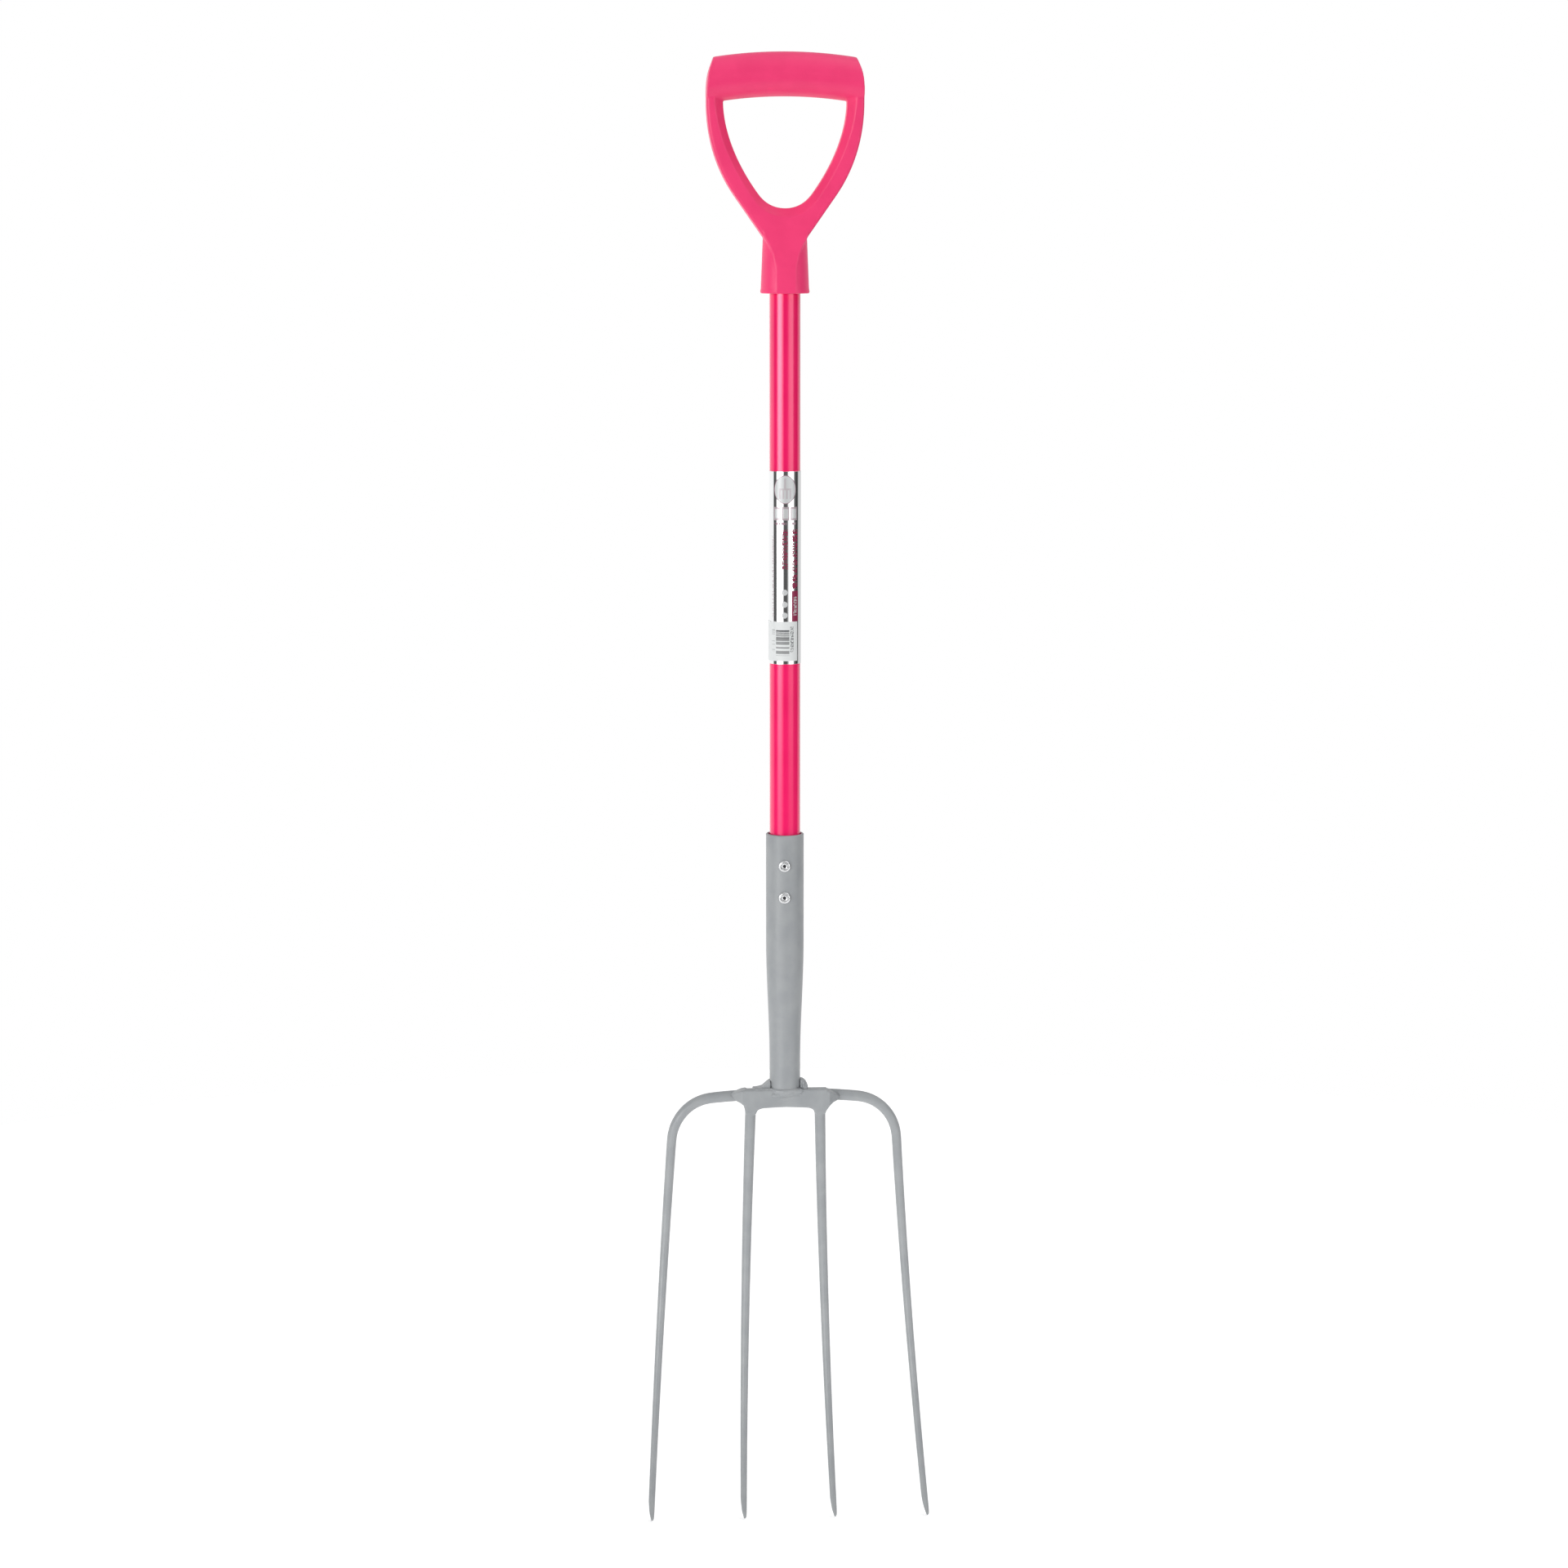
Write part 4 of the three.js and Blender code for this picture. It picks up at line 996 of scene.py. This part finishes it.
def socket_side_welds():
    """The three-cornered run left of the socket's foot, and the rounded lug right of it."""
    foot = SOCKET_FOOT_RADIUS - 0.0005
    left = [(-foot, 0.0068), (-0.0140, 0.0056), (-0.0164, 0.0036), (-0.0188, 0.0014)]
    left += [(-0.0222, 0.0004), (-0.0268, 0.0), (-0.0268, -0.0010), (-foot, -0.0010)]
    ripples = []
    for step in range(8):
        x, y = -0.0245 + 0.0019 * step, -0.0072 - 0.0004 * (step % 2)
        ripples.append((x, y, -0.0004, 0.0019, (1, 0.8, 0.8)))
    right = [(foot, -0.0006), (0.0190, -0.0006), (0.0186, 0.0026), (0.0172, 0.0054)]
    right += [(0.0148, 0.0074), (foot, 0.0080)]
    folds = [(0.0162, -0.0056, 0.0004, 0.0021, (1.2, 1, 0.9))]
    folds += [(0.0150, -0.0052, 0.0040, 0.0017, (0.8, 1, 1.6))]
    return [
        weld("socket_weld_left", left, -0.0062, 0.0052, ripples, 7),
        weld("socket_weld_right", right, -0.0055, 0.0040, folds, 7),
    ]


def crown_welds():
    """The fillets from both ends of the crown plate to the bar, the left one narrower than the right."""
    narrow = [(0.0322, -0.0215), (0.0332, -0.0165), (0.0346, -0.0133), (0.0372, -0.0112), (0.0405, -0.0103)]
    level = [(0.0450, -0.0052), (0.0400, -0.0024), (0.0362, -0.0008), (0.0325, -0.0001)]
    wide = [(0.0322, -0.0225), (0.0343, -0.0180), (0.0368, -0.0145), (0.0400, -0.0123), (0.0445, -0.0112)]
    falling = [(0.0450, -0.0072), (0.0368, -0.0022), (0.0325, -0.0012)]
    inner = [(0.0285, -0.0030), (0.0285, -0.0190)]
    left = [(-x, z) for x, z in narrow + level + inner]
    right = wide + falling + inner
    front, back = -0.00972, 0.0040
    return [
        weld("crown_weld_left", left, front, back, [], 26, CROWN_WELD_SLOPE),
        weld("crown_weld_right", right, front, back, [], 26, CROWN_WELD_SLOPE),
    ]


def make_welds():
    """All six welds, each with the name of its node."""
    beads = [socket_bead("socket_weld_front", -1), socket_bead("socket_weld_back", 1)]
    return beads + socket_side_welds() + crown_welds()


# ======== Putting it together ========

def finished(piece, finish, slot, *nodes):
    """Gives a piece its material and puts it in place of its part of the frame."""
    piece.data.materials.clear()
    piece.data.materials.append(finish)
    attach(piece, "root")
    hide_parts(*nodes)


paint = grey_paint("grey_paint", 40.0)
weld_paint = grey_paint("weld_paint", 150.0)
aluminium = rivet_aluminium()
steel = plated_steel()
painted_bore_shade = pin_painted_shade()

finished(make_handle(), handle_plastic(), "handle_plastic", "d_handle")
finished(make_screw(), steel, "plated_steel", "handle_screw")
finished(make_tube(), shaft_gloss(), "shaft_gloss", "shaft_tube")
finished(make_label(), silver_foil(), "silver_foil", "foil_label")
finished(make_sticker(), white_sticker(), "white_sticker", "barcode_sticker")
finished(make_socket(), paint, "grey_paint", "socket")
for which, head, pin in make_rivets():
    finished(head, aluminium, "rivet_aluminium", "rivet_" + which)
    # The pin carries painted shade: its near-black finish stands for the shadow in the rivet's bore.
    finished(pin, painted_bore_shade, "plated_steel", "rivet_" + which + "_stem")
finished(make_outer_tines(), paint, "grey_paint", "outer_tines")
finished(make_inner_tines(), paint, "grey_paint", "inner_tines")
for node, piece in make_welds():
    finished(piece, weld_paint, "grey_paint", node)


# ======== Studio ========

def pale_floor():
    """A plain white disc under the points."""
    rest_hands()
    place = (0, 0, bar_low.z - 0.0002)
    bpy.ops.mesh.primitive_circle_add(vertices=96, radius=FLOOR_RADIUS, fill_type="NGON", location=place)
    floor = settled("pale_floor")
    finish = Finish("floor_white", Base_Color=colour(0.85, 0.85, 0.85), Roughness=0.9)
    finish.shader.inputs["Emission Color"].default_value = colour(1, 1, 1)
    finish.shader.inputs["Emission Strength"].default_value = 0.45
    floor.data.materials.append(finish.material)


def studio_light():
    """A white room with two tall soft boxes before the fork, dark between them and beside them."""
    world = bpy.data.worlds.new("studio")
    bpy.context.scene.world = world
    world.use_nodes = True
    tree = world.node_tree
    start = Shade(tree)
    direction = start.node("ShaderNodeTexCoord", {}, {}, "Generated")
    split = start.node("ShaderNodeSeparateXYZ", {}, {0: direction})
    x, y, z = (Shade(tree, output) for output in split.socket.node.outputs)
    turn = start.sum("ARCTAN2", x, y * -1.0) * (180.0 / math.pi) + CAMERA_YAW
    rise = start.sum("ARCSINE", z) * (180.0 / math.pi)
    walls = turn.ramp(98.0, 120.0) * 0.7 + (1.0 - turn.ramp(-96.0, -80.0)) * 1.05
    gap = 0.1 * turn.within(-80.0, 94.0)
    left_box = turn.band(-66.0, -44.0, -36.0, -4.0) * LEFT_BOX_LIGHT
    right_box = turn.band(14.0, 42.0, 56.0, 76.0) * RIGHT_BOX_LIGHT
    height = rise.band(-13.0, -1.0, 8.0, 22.0)
    above = rise.ramp(22.0, 45.0)
    ceiling = 0.58 + 0.95 * turn.band(10.0, 60.0, 120.0, 160.0)
    light = (gap + walls + (left_box + right_box) * height) * (1.0 - above) + ceiling * above
    seen = start.node("ShaderNodeLightPath", {}, {}, "Is Camera Ray")
    strength = seen + light * (1.0 - seen)
    tree.links.new(strength.socket, tree.nodes["Background"].inputs["Strength"])
    tree.nodes["Background"].inputs["Color"].default_value = colour(1, 1, 1)


def camera():
    """A long lens looking slightly down, from a little to the left of the front."""
    yaw, pitch = math.radians(CAMERA_YAW), math.radians(CAMERA_PITCH)
    look = Vector((math.sin(yaw) * math.cos(pitch), math.cos(yaw) * math.cos(pitch), -math.sin(pitch)))
    data = bpy.data.cameras.new("camera")
    data.lens = CAMERA_LENS
    data.sensor_width = 36.0
    data.clip_end = 100.0
    holder = bpy.data.objects.new("camera", data)
    bpy.context.scene.collection.objects.link(holder)
    holder.location = CAMERA_AIM - look * CAMERA_DISTANCE
    holder.rotation_mode = "QUATERNION"
    holder.rotation_quaternion = look.to_track_quat("-Z", "Y")
    bpy.context.scene.camera = holder


pale_floor()
studio_light()
camera()
bpy.context.scene.view_settings.view_transform = "Standard"
